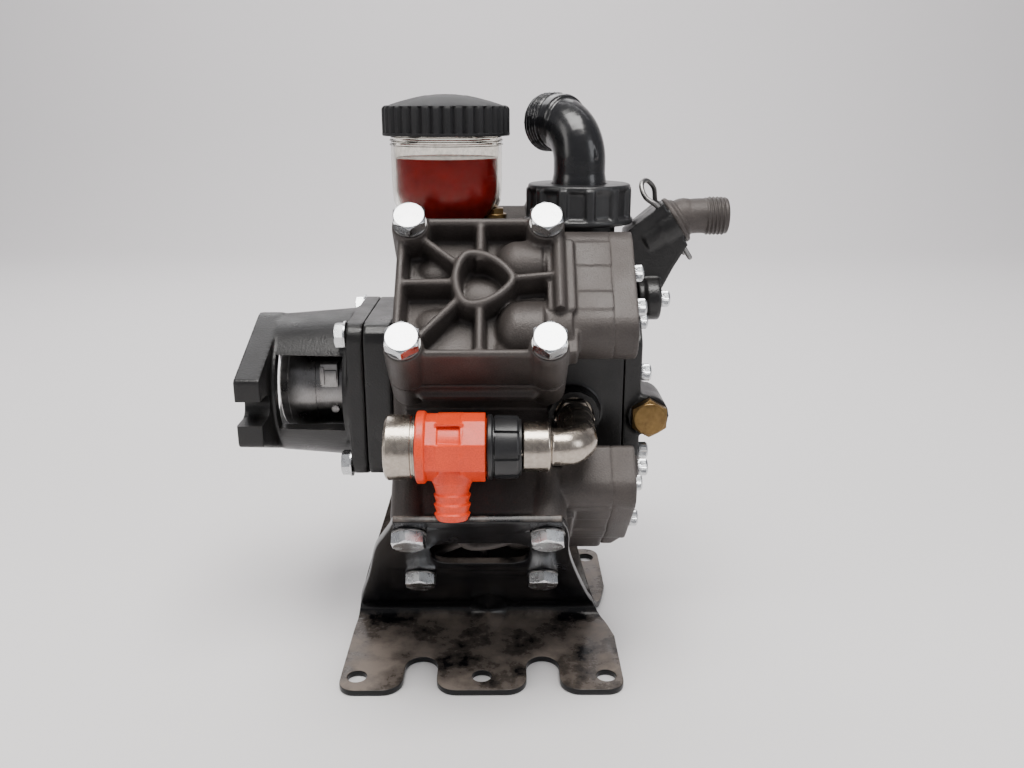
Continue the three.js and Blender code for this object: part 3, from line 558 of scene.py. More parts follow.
def head_shape(lip):
    top = 105.4
    p = [prism(rrect(-44, 46, -43, 45.5, 5), 78.3, 91.0)]
    rim = [(-41.5, -38, -41.5, 40, 4.6), (-41, 42.8, 44, 42.8, 4.8), (-41, -40.6, 44, -40.6, 4.6)]
    p += [bar(*r, 79, 106) for r in rim]
    p += [bar(x0, y0, x1, y1, w, 80, h) for x0, y0, x1, y1, w, h in (
        (-11, 3.6, -41, 3.0, 4.2, top), (-9, 13.5, -33, 34, 4.2, top), (-9, -6, -33, -34, 4.2, top),
        (1.2, 17, 1.2, 42, 4.4, top), (1.2, -8, 1.2, -40, 4.4, top), (19, 5.5, 44, 8.2, 3.8, top + 0.6))]
    loop = [(-6.3, 20.6, 0), (1.5, 20.7, 0), (9, 17.2, 0), (15.5, 11, 0), (18.6, 4.8, 0), (15.4, -1.2, 0),
            (9, -7, 0), (1.5, -10.8, 0), (-6, -10.6, 0), (-10, -4.5, 0), (-11.8, 4.8, 0), (-10.3, 14, 0)]
    closed = curve(loop[-2:] + loop + loop[:3], 5)
    closed = closed[10:10 + 5 * len(loop)]
    centre = np.array((1.5, 4.8))
    for a, b in zip(closed, closed[1:] + closed[:1]):
        d = (b - a) / max(np.linalg.norm(b - a), 1e-6) * 0.4
        a, b = a - d, b + d
        p.append(bar(a[0], a[1], b[0], b[1], 4.6, 84, 107.0, 0.05))
    p.append(dome(centre[0], centre[1], 89, 14, 11, 5))
    for t, low, r, x in ((23, 88, 15.2, 9), (-18.5, 85.5, 18.0, 9)):
        p.append(move(on_x(lathe([(0, 20), (r * 0.97, 20), (r, 25), (r, 34.5), (r - 0.8, 35.2), (0, 35.2)],
                                 64)), 0, t, low))
        p.append(dome(21, t, low, 21 - x, r * 0.985, r * 0.985, 48))
    p.append(move(on_x(rod(12.5, 34, 50)), 0, 23, 88))
    p.append(move(on_x(rod(15.5, 34, 50)), 0, -16, 86))
    p.append(prism(rrect(37, 52, -13.5, 33, 2.0), 84, 102.6))
    p += [lathe([(0, 78.3), (10.6, 78.3), (10.4, 104), (9.9, 108.5), (0, 108.5)], 40) for _ in BOLTS]
    for k, (x, t) in enumerate(BOLTS):
        p[-4 + k] = move(p[-4 + k], x, t)
    p.append(along_x(section(), 45, 72.7))
    p.append(bar(43.5, 31, 43.5, -14.5, 6.2, 92, 108.0, 0.04))
    p.append(along_x([(17.5, 90), (37.5, 90), (36.5, 97.0), (33, 98.7), (18.3, 98.8), (17.5, 98.2)][::-1],
                     50, 72.7))
    p.append(along_x([(-13, 90), (1.2, 90), (1.2, 98.2), (0.4, 98.9), (-10, 98.6), (-13, 97.0)][::-1], 50,
                     72.7))
    p.append(prism(rrect(40, 53, -36, -14, 2.0), 84, 96))
    for x, t in ((20, 30), (20, -30), (-22, 20), (-22, -14)):
        p.append(dome(x, t, 89, 12, 9, 5))
    if lip:
        p.append(prism(rrect(46, 72.7, -39, -15, 3), 79, 96))
    return merge(*p)


def head_cuts():
    cuts = [rod(35, 77, 87.2, 48)]
    cuts += [move(rod(5.6, 70, 112, 24), x, t) for x, t in BOLTS]
    return cuts


def cover_shape(lip):
    p = [along_x(section(), 73.0, 85.4), along_x(section(-0.45), 70.5, 74), along_x(section(-4), 80, 85.9)]
    p += [move(on_x(rod(6.8, 74, 88.3)), 0, t, r) for t, r in ((31, 72), (8, 72))]
    if lip:
        outline = [(73, -38.6), (80, -38.6), (85.4, -26), (85.4, -15), (73, -15)]
        p.append(prism(outline, 79.5, 94))
        p.append(move(on_x(rod(6.8, 74, 88.3)), 0, -19, 84))
    return merge(*p)


VOX = 0.85
upper = piece("casting_front_upper", head_shape(False), CAST, replaces=["head_front_upper"],
              matrix=turned(45), voxel=VOX, smooth=4, cuts=head_cuts())
lower = piece("casting_front_lower", head_shape(True), CAST, replaces=["head_front_lower"],
              matrix=turned(135), voxel=VOX, smooth=4, cuts=head_cuts())
again("casting_rear_lower", lower, turned(225), "casing", ["head_rear_lower"])
again("casting_rear_upper", upper, turned(315), "casing", ["head_rear_upper"])
cover = piece("cover_front_upper", cover_shape(False), CAST, replaces=["valve_cover_front_upper"],
              matrix=turned(45), voxel=VOX, smooth=4)
cover_low = piece("cover_front_lower", cover_shape(True), CAST, replaces=["valve_cover_front_lower"],
                  matrix=turned(135), voxel=VOX, smooth=4)
again("cover_rear_lower", cover_low, turned(225), "casing", ["valve_cover_rear_lower"])
again("cover_rear_upper", cover, turned(315), "casing", ["valve_cover_rear_upper"])

# head bolts over their washers, seated on the boss or, below, on the bracket
BOSS_TOP = 108.5
BRACKET_AND_GAP = 4.3
BOLT_TURNS = (0, 4, -3, 5)
bolt_shape = merge(hex_head(17, 1.5, 8.0, 0.0), rod(8.0, 1.2, 1.6, 48, edge=0.1), rod(5.0, -24, 1.6, 24))
washer_shape = ring(5.4, 9.3, 0.06, 1.35, 64, 0.25)
first_bolt = None
for where, turn in TURNS.items():
    seat = BOSS_TOP + (BRACKET_AND_GAP if where.endswith("lower") else 0.0)
    for k, (x, t) in enumerate(BOLTS):
        twist = math.radians(BOLT_TURNS[k]) + (0.4 * k if where == "rear_lower" else 0.0)
        m = turned(turn) @ Matrix.Translation(Vector((x, t, seat)) * 0.001) @ Matrix.Rotation(twist, 4, "Z")
        node = f"head_bolt_{where}_{k + 1}"
        if first_bolt is None:
            first_bolt = piece("bolt_" + node, bolt_shape, ZINC, replaces=[node], matrix=m, sharp=16)
            first_washer = piece("washer_" + node, washer_shape, STEEL, matrix=m, sharp=25)
        else:
            again("bolt_" + node, first_bolt, m, "casing", [node])
            again("washer_" + node, first_washer, m, "casing")

# socket screws on the valve covers
screw = None
for where, turn in TURNS.items():
    places = [(31, 72, 88.3), (8, 72, 88.3)]
    if where.endswith("lower"):
        places.append((-19, 84, 88.3))
    for k, (t, r, x) in enumerate(places):
        m = turned(turn) @ Matrix.Translation(Vector((x, t, r)) * 0.001) @ Matrix.Rotation(math.pi / 2, 4,
                                                                                           "Y")
        if screw is None:
            screw = piece("cover_screw_" + where + "_1", socket_screw(4.9, 5.8, 0.0), ZINC, matrix=m,
                          sharp=30)
        else:
            again(f"cover_screw_{where}_{k + 1}", screw, m, "casing")

# ------------------------------------------------------------------ crankcase
case = [cad_part("crankcase")]
for turn in TURNS.values():
    m = np.array(Matrix.Rotation(math.radians(turn), 3, "X"))
    extra = [move(rod(10.4, 60, 78, 32), x, t) for x, t in BOLTS]
    ledge = prism([(-34, -46), (-30, -50.5), (30, -50.5), (34, -46)], 69.5, 74.5)
    extra.append(ledge)
    for part in extra:
        case.append((part[0] @ m.T, part[1]))
piece("crankcase_casting", merge(*case), CAST, replaces=["crankcase"], voxel=1.1, smooth=3)
fitting = merge(rod(7.5, 100.2, 104.5, 40, edge=0.4), rod(5.2, 96, 107.2, 32, edge=0.5),
                move(hex_head(11, 104.5, 107.9, 0.3), 0, 0))
piece("oil_drain_fitting", move(fitting, 8, -4), BRASS, slot="brass", sharp=30)

# ------------------------------------------------------------------ manifold behind the valve housings
def rounded_octagon(half, chamfer, r=5):
    u, v = half - r, half - chamfer
    ring_points = []
    for a in (0, 90, 180, 270):
        c, s = math.cos(math.radians(a)), math.sin(math.radians(a))
        ring_points += [(c * u + s * v, s * u - c * v, r), (c * u - s * v, s * u + c * v, r)]
    return hull(ring_points, 12)


body = merge(cad_part("rear_manifold"), along_x(rounded_octagon(50, 15), 70, 82.7),
             move(on_y(rod(15, -60, -49.8, 48, top=13.5)), 53.5, 0, -3.5),
             move(on_y(rod(15.5, -56, -40, 48)), 53.5, 0, -3.5))
piece("manifold_body", body, DARK_CAST, replaces=["rear_manifold"], voxel=1.0, smooth=3,
      cuts=[move(on_y(rod(11.4, -61, -49, 40)), 53.5, 0, -3.5)])
lid = merge(cad_part("manifold_cover"), along_x(rounded_octagon(50, 15), 83, 92.6))
piece("manifold_lid", lid, DARK_CAST, replaces=["manifold_cover"], voxel=1.0, smooth=3)
for k, (y, z) in enumerate(((-44, 18), (-44, -30), (44, 18), (44, -30), (-24, 44), (-24, -44), (24, 44),
                            (24, -44))):
    m = UPRIGHT @ Matrix.Translation(Vector((92.7, y, z)) * 0.001) @ Matrix.Rotation(math.pi / 2, 4, "Y")
    again(f"manifold_screw_{k + 1}", screw, m, "casing")

# ------------------------------------------------------------------ drive end cover and motor adapter
piece("drive_cover", merge(cad_part("drive_end_cover"), move(on_x(rod(22, -67.2, -60, 48)), 0, 0, 0)),
      DARK_CAST, replaces=["drive_end_cover"], voxel=1.0, smooth=3, cuts=[on_x(rod(15, -69, -50, 48)),
                                                               on_x(rod(18, -69, -63, 48))])

flange = hull([(-63.7, -18.2, 1.8), (0, -31.5, 12.5), (63.7, -18.2, 1.8), (63.7, 18.2, 1.8), (0, 31.5, 12.5),
               (-63.7, 18.2, 1.8)], 10)
adapter = [along_x(flange, -136.5, -122), on_x(rod(42.5, -123, -72, 72, top=46.5)),
           along_x(rrect(-46.5, 46.5, -46.5, 46.5, 10), -76.5, -67)]
slots = [along_x(hull([(-75, 0, 7.15), (-53.2, 0, 7.15)], 10), -138, -120),
         along_x(hull([(53.2, 0, 7.15), (75, 0, 7.15)], 10), -138, -120)]
machined = [on_x(rod(35.5, -138, -66, 72)), on_x(rod(41.3, -138, -130, 96)),
            box(-119.5, -80, -60, 60, -18, 26)] + slots
piece("adapter_casting", merge(*adapter), DARK_CAST, replaces=["motor_adapter"], voxel=1.0, smooth=5,
      cuts=machined)
m8 = merge(hex_head(13, 1.3, 6.6, 0.3), rod(6.2, 1.2, 1.5, 40), ring(4.2, 8.2, 0, 1.3, 56, 0.2),
           rod(4, -6, 1.4, 20))
m8_first = None
for k, (y, z) in enumerate([(y, z) for y in (-39.2, 39.2) for z in (-39.2, 39.2)]):
    m = UPRIGHT @ Matrix.Translation(Vector((-76.5, y, z)) * 0.001) @ Matrix.Rotation(-math.pi / 2, 4, "Y")
    m = m @ Matrix.Rotation(0.06 * k, 4, "Z")
    if m8_first is None:
        m8_first = piece("adapter_bolt_1", m8, ZINC, matrix=m, sharp=25)
    else:
        again(f"adapter_bolt_{k + 1}", m8_first, m, "casing")
sleeve = [on_x(ring(12.8, 26.6, -121, -80, 80, 0.8)), on_x(ring(20, 27.0, -116, -99, 80, 0.4))]
sleeve.append(box(-95, -85, -29.5, -20, 5, 19))
piece("coupling", merge(*sleeve), STEEL, "crank", replaces=["coupling_sleeve"], sharp=30, bevel=0.4)
key = merge(box(-92.4, -85.4, -31.2, -29, 8.4, 15.4), box(-95.4, -92.9, -30.2, -28.6, 6.4, 17.4),
            move(on_y(rod(2.6, -26.2, -22, 32, edge=0.3)), -88, 0, -10))
piece("coupling_key", key, STEEL, "crank", bevel=0.35, sharp=25)

# ------------------------------------------------------------------ oil reservoir
AT_BOWL = UPRIGHT @ Matrix.Translation((-0.0194, 0, 0))
bowl = [(8, 84.3), (17.5, 84.3), (17.5, 89), (22, 89.5), (23, 94), (25.5, 101), (30, 108), (31.6, 112),
        (32.1, 118), (32.3, 126), (32.3, 142.6)]
for k in range(3):
    z = 143.2 + k * 2.4
    bowl += [(32.3, z), (33.0, z + 0.5), (33.0, z + 1.1), (32.3, z + 1.6)]
bowl += [(32.3, 162), (30.2, 162), (30.2, 118), (29.4, 112), (27.2, 107.5), (23, 101.5), (20.4, 95),
         (19, 91), (8, 91)]
piece("bowl", lathe(bowl, 96), CLEAR, replaces=["reservoir_bowl"], matrix=AT_BOWL, sharp=30)
oil = [(0, 91.4), (18.6, 91.4), (20.0, 95.4), (22.6, 101.7), (26.8, 107.9), (29.0, 112.4), (29.9, 118.2),
       (29.9, 135.4), (30.0, 136.4), (29.0, 136.0), (0, 135.9)]
piece("oil", lathe(oil, 96), OIL, slot="clear_plastic", matrix=AT_BOWL, sharp=60)


CAP_FLUTES = 36
CAP_FACETS = 24


def fluting(r, z, angle):
    if z > 164.6 and r > 1:
        return r - 0.012 * r * np.abs((angle * CAP_FACETS / (2 * math.pi)) % 1 - 0.5)
    if r < 35.5 or z < 150.4:
        return np.full(len(angle), r)
    phase = (angle * CAP_FLUTES / (2 * math.pi)) % 1
    return r - 1.7 * np.clip(np.abs(phase - 0.5) * 4 - 0.9, 0, 1)


cap_profile = [(0, 164.5), (33.1, 164.5), (33.1, 148.8), (36.6, 148.8), (37.0, 149.4), (37.0, 150.3),
               (36.9, 150.6), (36.9, 151.4), (36.9, 163.2), (36.6, 164.2), (36.0, 165.0), (34.6, 165.6),
               (33.2, 165.5), (31.5, 166.2), (26, 167.9), (18, 169.9), (12.4, 171.0), (11.6, 170.9),
               (6, 171.6), (0, 171.8)]
piece("cap_moulding", lathe(cap_profile, 360, fluting), SATIN, "cap", replaces=["reservoir_cap"],
      matrix=AT_BOWL, sharp=24)

# ------------------------------------------------------------------ suction fitting
AT_SUCTION = UPRIGHT @ Matrix.Translation((0.0584, 0, 0))
nut = [lathe([(24.3, 98.8), (31.6, 98.8), (32.2, 99.6), (32.2, 101.6), (31.4, 102.4), (29.3, 103.2),
              (29.0, 104), (29.0, 116.5), (29.3, 118), (30.2, 118.6), (30.2, 121.0), (29.4, 121.7),
              (17.2, 121.7), (16.4, 121.0), (16.4, 115.2), (24.3, 115.0)], 120)]
for k in range(12):
    lug = prism(hull([(0, -2.2, 1.2), (3.0, -1.6, 0.9), (3.0, 1.6, 0.9), (0, 2.2, 1.2)], 30), 101, 119.2)
    nut.append(spun(move(lug, 27.6), "Z", 30 * k + 8))
piece("ring_nut", merge(*nut), BLACK, "suction_nut", replaces=["suction_nut"], matrix=AT_SUCTION, voxel=0.8,
      smooth=3)

yaw = math.radians(125)
out = Vector((math.cos(yaw), math.sin(yaw), 0))
foot = Vector((0, 0, 134))


def bend_points(low, reach, n=14):
    pts = [Vector((0, 0, z)) for z in np.linspace(low, 134, 5)[:-1]]
    for k in range(n + 1):
        a = math.pi / 2 * k / n
        pts.append(foot + out * (22 * (1 - math.cos(a))) + Vector((0, 0, 22 * math.sin(a))))
    pts += [Vector((0, 0, 156)) + out * s for s in np.linspace(22, reach, 5)[1:]]
    return pts


def turned_out(part):
    return move(spun(spun(part, "Y", 90), "Z", 125), 0, 0, 156)


elbow = [tube([tuple(p) for p in bend_points(109, 33.9)], 15.2, 48),
         lathe([(0, 109), (23.4, 109), (23.4, 113.8), (22.8, 114.4), (17.5, 114.4), (16.4, 116),
                (15.8, 124), (15.2, 127), (0, 127)], 72),
         turned_out(lathe([(0, 12), (15.2, 12), (16.2, 14), (16.4, 19.5), (15.6, 20.2), (0, 20.2)], 64)),
         tube([tuple(p + Vector(out) * -15.0) for p in bend_points(118, 24)[5:-4]], 1.2, 10)]
elbow.append(turned_out(thread(17.6, 1.5, 2.6, 19.5, 33.9, 72)))
piece("elbow_moulding", merge(*elbow), GLOSS, "suction_elbow", replaces=["suction_elbow"],
      matrix=AT_SUCTION, voxel=0.65, smooth=2,
      cuts=[tube([tuple(p) for p in bend_points(108, 35)], 12.4, 40)])

# ------------------------------------------------------------------ delivery outlet
TILT = 33
LEVEL = 102.5


def sloped(part):
    return move(spun(part, "Y", 90 - TILT), 118, 0, 101)


socket = merge(cad_part("outlet_socket"),
               move(on_x(rod(12.5, 97.4, 106.5, 48, edge=1)), 0, -14, 55),
               sloped(lathe([(0, -24), (13.6, -24), (13.6, -14), (14.2, -12), (14.2, -1.0), (13.4, -0.2),
                             (0, -0.2)], 56)))
piece("socket_casting", socket, DARK_CAST, replaces=["outlet_socket"], voxel=0.9, smooth=3,
      cuts=[sloped(rod(10.0, -26, 3, 48))])
m = UPRIGHT @ Matrix.Translation(Vector((106.8, -14, 55)) * 0.001) @ Matrix.Rotation(math.pi / 2, 4, "Y")
again("outlet_screw", screw, m, "casing")
slope = math.radians(TILT)


def behind(s):
    return (118 + s * math.cos(slope), 0, 101 + s * math.sin(slope))


line = curve([behind(-1), behind(3), (123.6, 0, LEVEL - 0.4), (129, 0, LEVEL), (135, 0, LEVEL)], 7)
tail = [tube([tuple(q) for q in line], 10.3, 48),
        sloped(lathe([(0, -3.2), (14.2, -3.2), (14.8, -2.6), (14.8, -0.9), (14.2, -0.2), (12.4, 0.6),
                      (11.4, 2.4), (0, 2.6)], 64)),
        sloped(rod(9.4, -25, 0, 48)), on_x(thread(11.5, 1.2, 2.3, 133.2, 147, 72))]
tail[3] = move(tail[3], 0, 0, LEVEL)
piece("tail_casting", merge(*tail), CAST, "outlet_tail", slot="black_casting", replaces=["outlet_tail"],
      voxel=0.45, smooth=1, cuts=[move(on_x(rod(6.6, 128, 148, 40)), 0, 0, LEVEL)])
PIN_BACK = -6.5
loop = [(22, 9.2, 0), (8, 9.2, 0), (-8, 9.2, 0), (-15, 9.0, 1.2), (-22, 7.0, 4.0), (-28, 3.6, 2.8),
        (-30, 0, 0)]
loop += [(x, -y, -z) for x, y, z in reversed(loop[:-1])]
wire = tube([tuple(q) for q in curve(loop, 8)], 1.5, 20, round_ends=True)
piece("u_pin_wire", sloped(move(wire, 0, 0, PIN_BACK)), STEEL, "u_pin", replaces=["outlet_u_pin"])

# ------------------------------------------------------------------ relief valve, axis along X
RY, RZ = -108.0, -3.5


def on_relief(part):
    return move(on_x(part), 0, RY, RZ)


def leaning(part):
    return move(spun(part, "X", -12), -13, RY, RZ)


body = [on_relief(lathe([(0, -31), (18.2, -31), (18.8, -30.4), (18.8, -26.8), (18.2, -26.2), (15.4, -26.2),
                         (15.0, 4.6), (14.6, 5), (0, 5)], 72)),
        on_relief(spun(rod(17.5, -25.5, -20.0, 8), "Z", 22.5)),
        on_relief(spun(rod(17.9, -7.6, 4.4, 8), "Z", 22.5)), on_relief(rod(16.9, -8.4, -7.0, 48)),
        leaning(lathe([(0, -38), (7.8, -38), (9.5, -34.4), (8.5, -33.9), (8.5, -32.8), (9.7, -29.4),
                       (8.6, -28.9), (8.6, -27.8), (9.8, -24.4), (8.7, -23.9), (8.7, -22.8), (9.8, -19.4),
                       (9.4, -10), (9.4, 0), (0, 0)], 64)),
        leaning(lathe([(0, -18.8), (10.4, -18.4), (11.2, -12), (11.4, 0), (0, 0)], 48))]
body.append(move(box(-20.5, -7.0, -9.5, 9.5, 0, 1.3), 0, RY, RZ + 14.4))
body.append(move(box(-20.5, -7.0, -16.6, -14.4, -7, 7), 0, RY, RZ))
piece("relief_moulding", merge(*body), ORANGE, replaces=["relief_body"], voxel=0.45, smooth=1,
      cuts=[on_relief(rod(11.0, -33, 2, 48)), on_relief(rod(6, 1, 7, 32)), leaning(rod(6.4, -45, -6, 32))])
cap_metal = [(0, -47), (6, -47), (6.6, -46.3), (14.6, -46.3), (15.4, -47), (16.2, -46.6), (17, -45.4),
             (17, -33.6), (16.5, -33.2), (16.5, -32.2), (17, -31.9), (17, -31.3), (11, -31.3), (11, -44),
             (0, -44)]
piece("relief_cap_metal", on_relief(lathe(cap_metal, 96)), NICKEL, replaces=["relief_cap"], sharp=28)
def lugs(r, z, angle):
    if r < 15.6 or z < 8.6 or z > 21.4:
        return np.full(len(angle), r)
    phase = (angle * 8 / (2 * math.pi)) % 1
    return r - 1.5 * (np.abs(phase - 0.5) > 0.40)


grip = [(8.2, 5.6), (8.6, 5.3), (16.2, 5.3), (16.9, 5.9), (16.9, 7.4), (16.4, 8.0), (14.9, 8.3),
        (14.9, 8.7), (16.3, 9.2), (16.5, 9.8), (16.2, 20.4), (15.7, 21.2), (14.6, 21.6), (14.4, 22.7),
        (8.6, 22.7), (8.2, 22.3)]
piece("union_moulding", on_relief(lathe(grip, 256, lugs)), BLACK, "union_nut",
      replaces=["relief_union_nut"], sharp=30)
bend = [(36, RY, RZ), (40, RY, RZ)]
bend += [(43 + 10.5 * math.sin(a), RY + 10.5 * (1 - math.cos(a)), RZ)
         for a in np.linspace(0, math.pi / 2, 16)]
bend += [(53.5, -90, RZ), (53.5, -76, RZ)]
knee = [on_relief(lathe([(0, 23.1), (12.2, 23.1), (13, 23.9), (13, 36.4), (12.4, 37.4), (10.6, 38.2),
                         (0, 38.4)], 72)),
        tube(bend, 9.7, 48),
        move(on_y(lathe([(0, -80), (9.6, -80), (9.6, -76.5), (10.4, -74.5), (10.6, -66.2), (0, -66.2)],
                        56)), 53.5, 0, RZ)]
piece("relief_elbow_metal", merge(*knee), NICKEL, replaces=["relief_elbow"], voxel=0.6, smooth=2,
      cuts=[on_relief(rod(8.4, 20, 32, 48))])
nip = merge(move(on_y(hex_head(20, 0, 8.4, 0.0)), 0, -65.6), on_y(rod(11.1, -57.4, -50.3, 56, edge=0.3)),
            on_y(rod(6.4, -51, -42, 32)))
piece("nipple_hex", move(nip, 53.5, 0, RZ), NICKEL, replaces=["relief_nipple"], bevel=0.5, sharp=25)

# ------------------------------------------------------------------ brass plug
low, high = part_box("brass_plug")
plug_x = ((low.x + high.x) / 2 - CENTRE.x) * 1000
plug_z = ((low.z + high.z) / 2 - CENTRE.z) * 1000
front = (low.y - CENTRE.y) * 1000
turned_plug = lathe([(0, 4), (9.3, 4), (9.3, 5.7), (8.9, 6.1), (7.4, 6.3), (0, 6.6)], 72)
shape = merge(spun(hex_head(19.6, 0, 5.6, 0.0), "X", 90), spun(turned_plug, "X", 90),
              spun(rod(6, -13, 0.4, 40), "X", 90))
shape = move(shape, plug_x, front + 6.6, plug_z)
piece("plug_metal", shape, BRASS, replaces=["brass_plug"], sharp=18)

# ------------------------------------------------------------------ foot brackets
# Drawn flat as (across, up the plate, through it), then bent: zero is where the slope meets the bend.
INNER = 108.8
BEND = 10.5
PLATE = 4.0
BEND_LENGTH = 20.0
SLOPE_START = -102.0
EDGE = -96.8


def flat_curve(points):
    return [(q[0], q[1]) for q in curve([(x, y, 0) for x, y in points], 6)]


def notch(x0, x1):
    r = (x1 - x0) / 2
    roof = [(x0 + r - r * math.cos(a), EDGE + 23 + 11 * math.sin(a)) for a in np.linspace(0, math.pi, 17)]
    lead = [(x0 - 12 + 12 * math.sin(a), EDGE + 12 * (1 - math.cos(a)))
            for a in np.linspace(0, math.pi / 2, 9)]
    tail_end = [(x1 + 12 - 12 * math.cos(a), EDGE + 12 - 12 * math.sin(a))
                for a in np.linspace(0, math.pi / 2, 9)]
    return lead + roof + tail_end


def flat_bracket():
    left = flat_curve([(-44, 156), (-47, 146), (-52, 132), (-59, 111), (-69, 61), (-80, 14), (-84, -12),
                       (-85, -32)])
    corner = [(-75 - 10 * math.cos(a), EDGE + 10 - 10 * math.sin(a)) for a in np.linspace(0, math.pi / 2, 9)]
    far = [(75 + 10 * math.sin(a), EDGE + 10 - 10 * math.cos(a)) for a in np.linspace(0, math.pi / 2, 9)]
    right = flat_curve([(85, -40), (80.5, -22), (74, -6), (68.5, 12), (58, 61), (51, 102), (49, 132),
                        (47, 146), (44, 156)])
    return left + corner + notch(-47, -27) + notch(27, 47) + far + right


def bent(x, s, h):
    r = math.sqrt(0.5)
    foot_y = -(INNER + BEND) / r + 167 - BEND
    if s >= 0:
        t = SLOPE_START + s
        return x, -r * (INNER + h + t), r * (t - INNER - h)
    if s > -BEND_LENGTH:
        a = math.radians(45 + 135 * s / BEND_LENGTH)
        return x, foot_y + (BEND - h) * math.cos(a), BEND - 167 + (BEND - h) * math.sin(a)
    return x, foot_y + s + BEND_LENGTH, h - 167


plate = raw("bracket_front", prism(flat_bracket(), 0, PLATE), Matrix())
holes = [move(rod(5.8, -2, 6, 40), x, EDGE + 14) for x in (-75, 0, 75)]
holes += [move(rod(6, -2, 6, 32), x, t - SLOPE_START) for x, t in BOLTS]
holes.append(move(prism(rrect(-28, 28, -18, 20, 12), -2, 6), 0, -SLOPE_START))
drill(plate, holes, Matrix())
round_edges(plate, 0.6, 3, 50)
bm = bmesh.new()
bm.from_mesh(plate.data)
for s in np.linspace(0, -BEND_LENGTH, 15):
    every = list(bm.verts) + list(bm.edges) + list(bm.faces)
    bmesh.ops.bisect_plane(bm, geom=every, plane_co=(0, float(s) * 0.001, 0), plane_no=(0, 1, 0))
for v in bm.verts:
    v.co = Vector(bent(*(v.co * 1000))) * 0.001
bm.to_mesh(plate.data)
bm.free()
plate.matrix_world = UPRIGHT
finish_piece(plate, PAINT, "casing", "black_paint", ["foot_front"], 30)

# a dart pressed into the bend: a ridge from the slope to the foot that falls away to both sides
ACROSS = 13
ALONG = 17
rows = []
for u in np.linspace(0, 1, ALONG):
    along = 22 - 62 * u
    half = 12.5 * math.sin(math.pi * min(max(u, 0.02), 0.98)) ** 0.8
    lift = 6.5 * math.sin(math.pi * u) ** 1.2
    rows.append([bent(3 + half * v, along, 3.7 + lift * (1 - abs(v)) ** 0.85)
                 for v in np.linspace(-1, 1, ACROSS)])
points = np.array([p for row in rows for p in row] + [bent(3, -9, 1.0)])
n = ACROSS
faces = [(i * n + k, i * n + k + 1, (i + 1) * n + k + 1, (i + 1) * n + k)
         for i in range(ALONG - 1) for k in range(n - 1)]
rim = [k for k in range(n)] + [i * n + n - 1 for i in range(1, ALONG)]
rim += [(ALONG - 1) * n + k for k in range(n - 2, -1, -1)] + [i * n for i in range(ALONG - 2, 0, -1)]
faces += [(rim[k], rim[(k + 1) % len(rim)], len(points) - 1) for k in range(len(rim))]
dart = piece("dart_front", (points, faces), PAINT, sharp=50)
for name, first, replaces in (("bracket_rear", plate, ["foot_rear"]), ("dart_rear", dart, [])):
    mesh = first.data.copy()
    mesh.transform(Matrix.Diagonal((1, -1, 1, 1)))
    mesh.flip_normals()
    twin = bpy.data.objects.new(name, mesh)
    twin.matrix_world = UPRIGHT
    bpy.context.scene.collection.objects.link(twin)
    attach(twin, "casing")
    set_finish(twin, "black_paint")
    if replaces:
        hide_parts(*replaces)

# ------------------------------------------------------------------ what stays as packed
for entry in frame["record"]["subparts"]:
    node_object = frame["nodes"][entry["node"]]
    node_object.data.materials.clear()
    node_object.data.materials.append(SLOT_FINISH[entry["material_slot"]])

# ------------------------------------------------------------------ floor, light and camera
def stage_mesh(name, verts, faces, mat):
    me = bpy.data.meshes.new(name)
    me.from_pydata(verts, [], faces)
    me.polygons.foreach_set("use_smooth", [True] * len(faces))
    ob = bpy.data.objects.new(name, me)
    bpy.context.scene.collection.objects.link(ob)
    me.materials.append(mat)


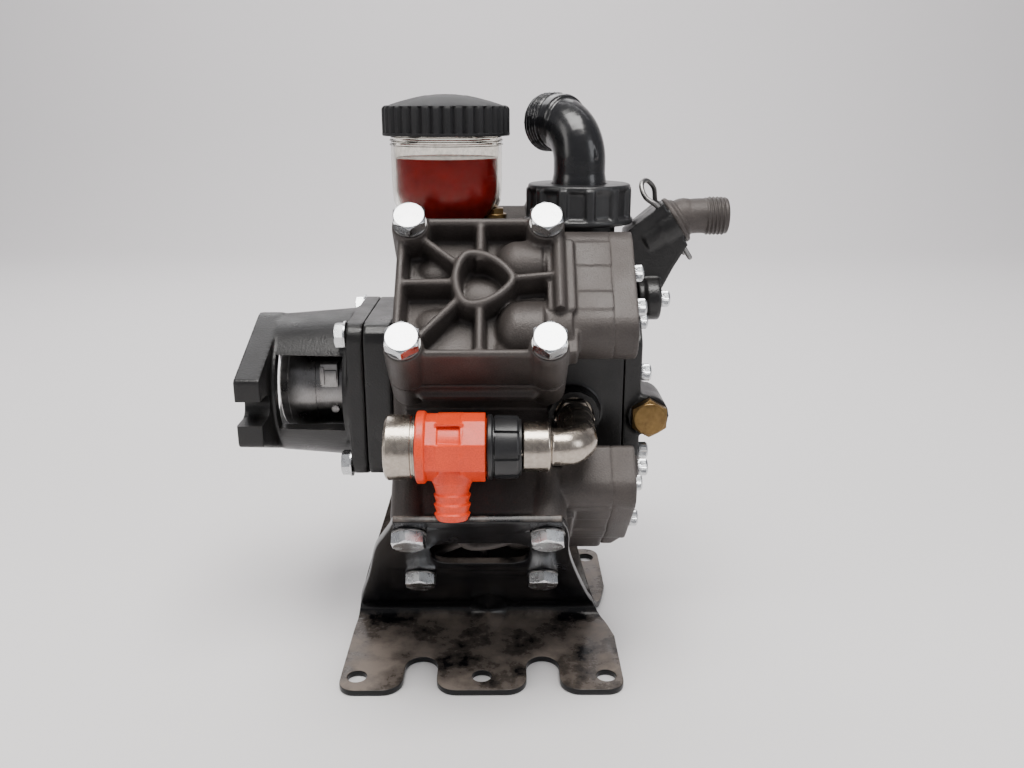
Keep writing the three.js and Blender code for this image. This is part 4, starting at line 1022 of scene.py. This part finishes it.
pale = bpy.data.materials.new("pale_floor")
pale.use_nodes = True
pale.node_tree.nodes["Principled BSDF"].inputs["Base Color"].default_value = (0.83, 0.81, 0.81, 1)
pale.node_tree.nodes["Principled BSDF"].inputs["Roughness"].default_value = 0.75
rows = [(-4, 0), (1.6, 0)] + [(1.6 + 0.8 * math.sin(a), 0.8 - 0.8 * math.cos(a))
                              for a in np.linspace(0.1, math.pi / 2, 16)]
rows.append((2.4, 4))
verts = [(x, y, z - 0.0002) for y, z in rows for x in (-6, 6)]
stage_mesh("floor", verts, [(2 * k, 2 * k + 1, 2 * k + 3, 2 * k + 2) for k in range(len(rows) - 1)], pale)

world = bpy.data.worlds.new("studio")
bpy.context.scene.world = world
world.use_nodes = True
world.node_tree.nodes["Background"].inputs["Color"].default_value = (0.93, 0.94, 1.0, 1)
world.node_tree.nodes["Background"].inputs["Strength"].default_value = 0.34


def soft_light(name, place, aim, width, height, power, colour=(1, 1, 1)):
    lamp = bpy.data.lights.new(name, "AREA")
    lamp.shape = "RECTANGLE"
    lamp.size = width
    lamp.size_y = height
    lamp.energy = power
    lamp.color = colour
    ob = bpy.data.objects.new(name, lamp)
    ob.location = place
    ob.rotation_euler = (Vector(aim) - Vector(place)).to_track_quat("-Z", "Y").to_euler()
    bpy.context.scene.collection.objects.link(ob)


soft_light("overhead", (0.05, -0.42, 1.45), (0, 0, 0.15), 1.0, 0.7, 30, (1.0, 0.98, 0.95))
soft_light("left", (-1.3, -0.7, 0.9), (0, 0, 0.18), 0.5, 1.1, 6, (1.0, 0.97, 0.94))
soft_light("right", (1.3, -0.9, 0.8), (0, 0, 0.18), 0.5, 0.9, 5, (0.95, 0.97, 1.0))
soft_light("wall", (0, 0.7, 1.8), (0, 2.4, 0.8), 2.4, 0.6, 34, (1.0, 0.97, 0.98))
soft_light("behind", (-0.3, 1.2, 1.3), (0, 0.2, 0.1), 1.4, 0.7, 9)

lens = bpy.data.cameras.new("camera")
lens.lens = 31.64
lens.sensor_width = 36
camera = bpy.data.objects.new("camera", lens)
camera.location = (0.00935, -0.53946, 0.3289)
pitch, side = math.radians(16.82), math.radians(0.44)
look = Vector((math.sin(side) * math.cos(pitch), math.cos(side) * math.cos(pitch), -math.sin(pitch)))
camera.rotation_euler = look.to_track_quat("-Z", "Y").to_euler()
lens.clip_start = 0.01
bpy.context.scene.collection.objects.link(camera)
bpy.context.scene.camera = camera
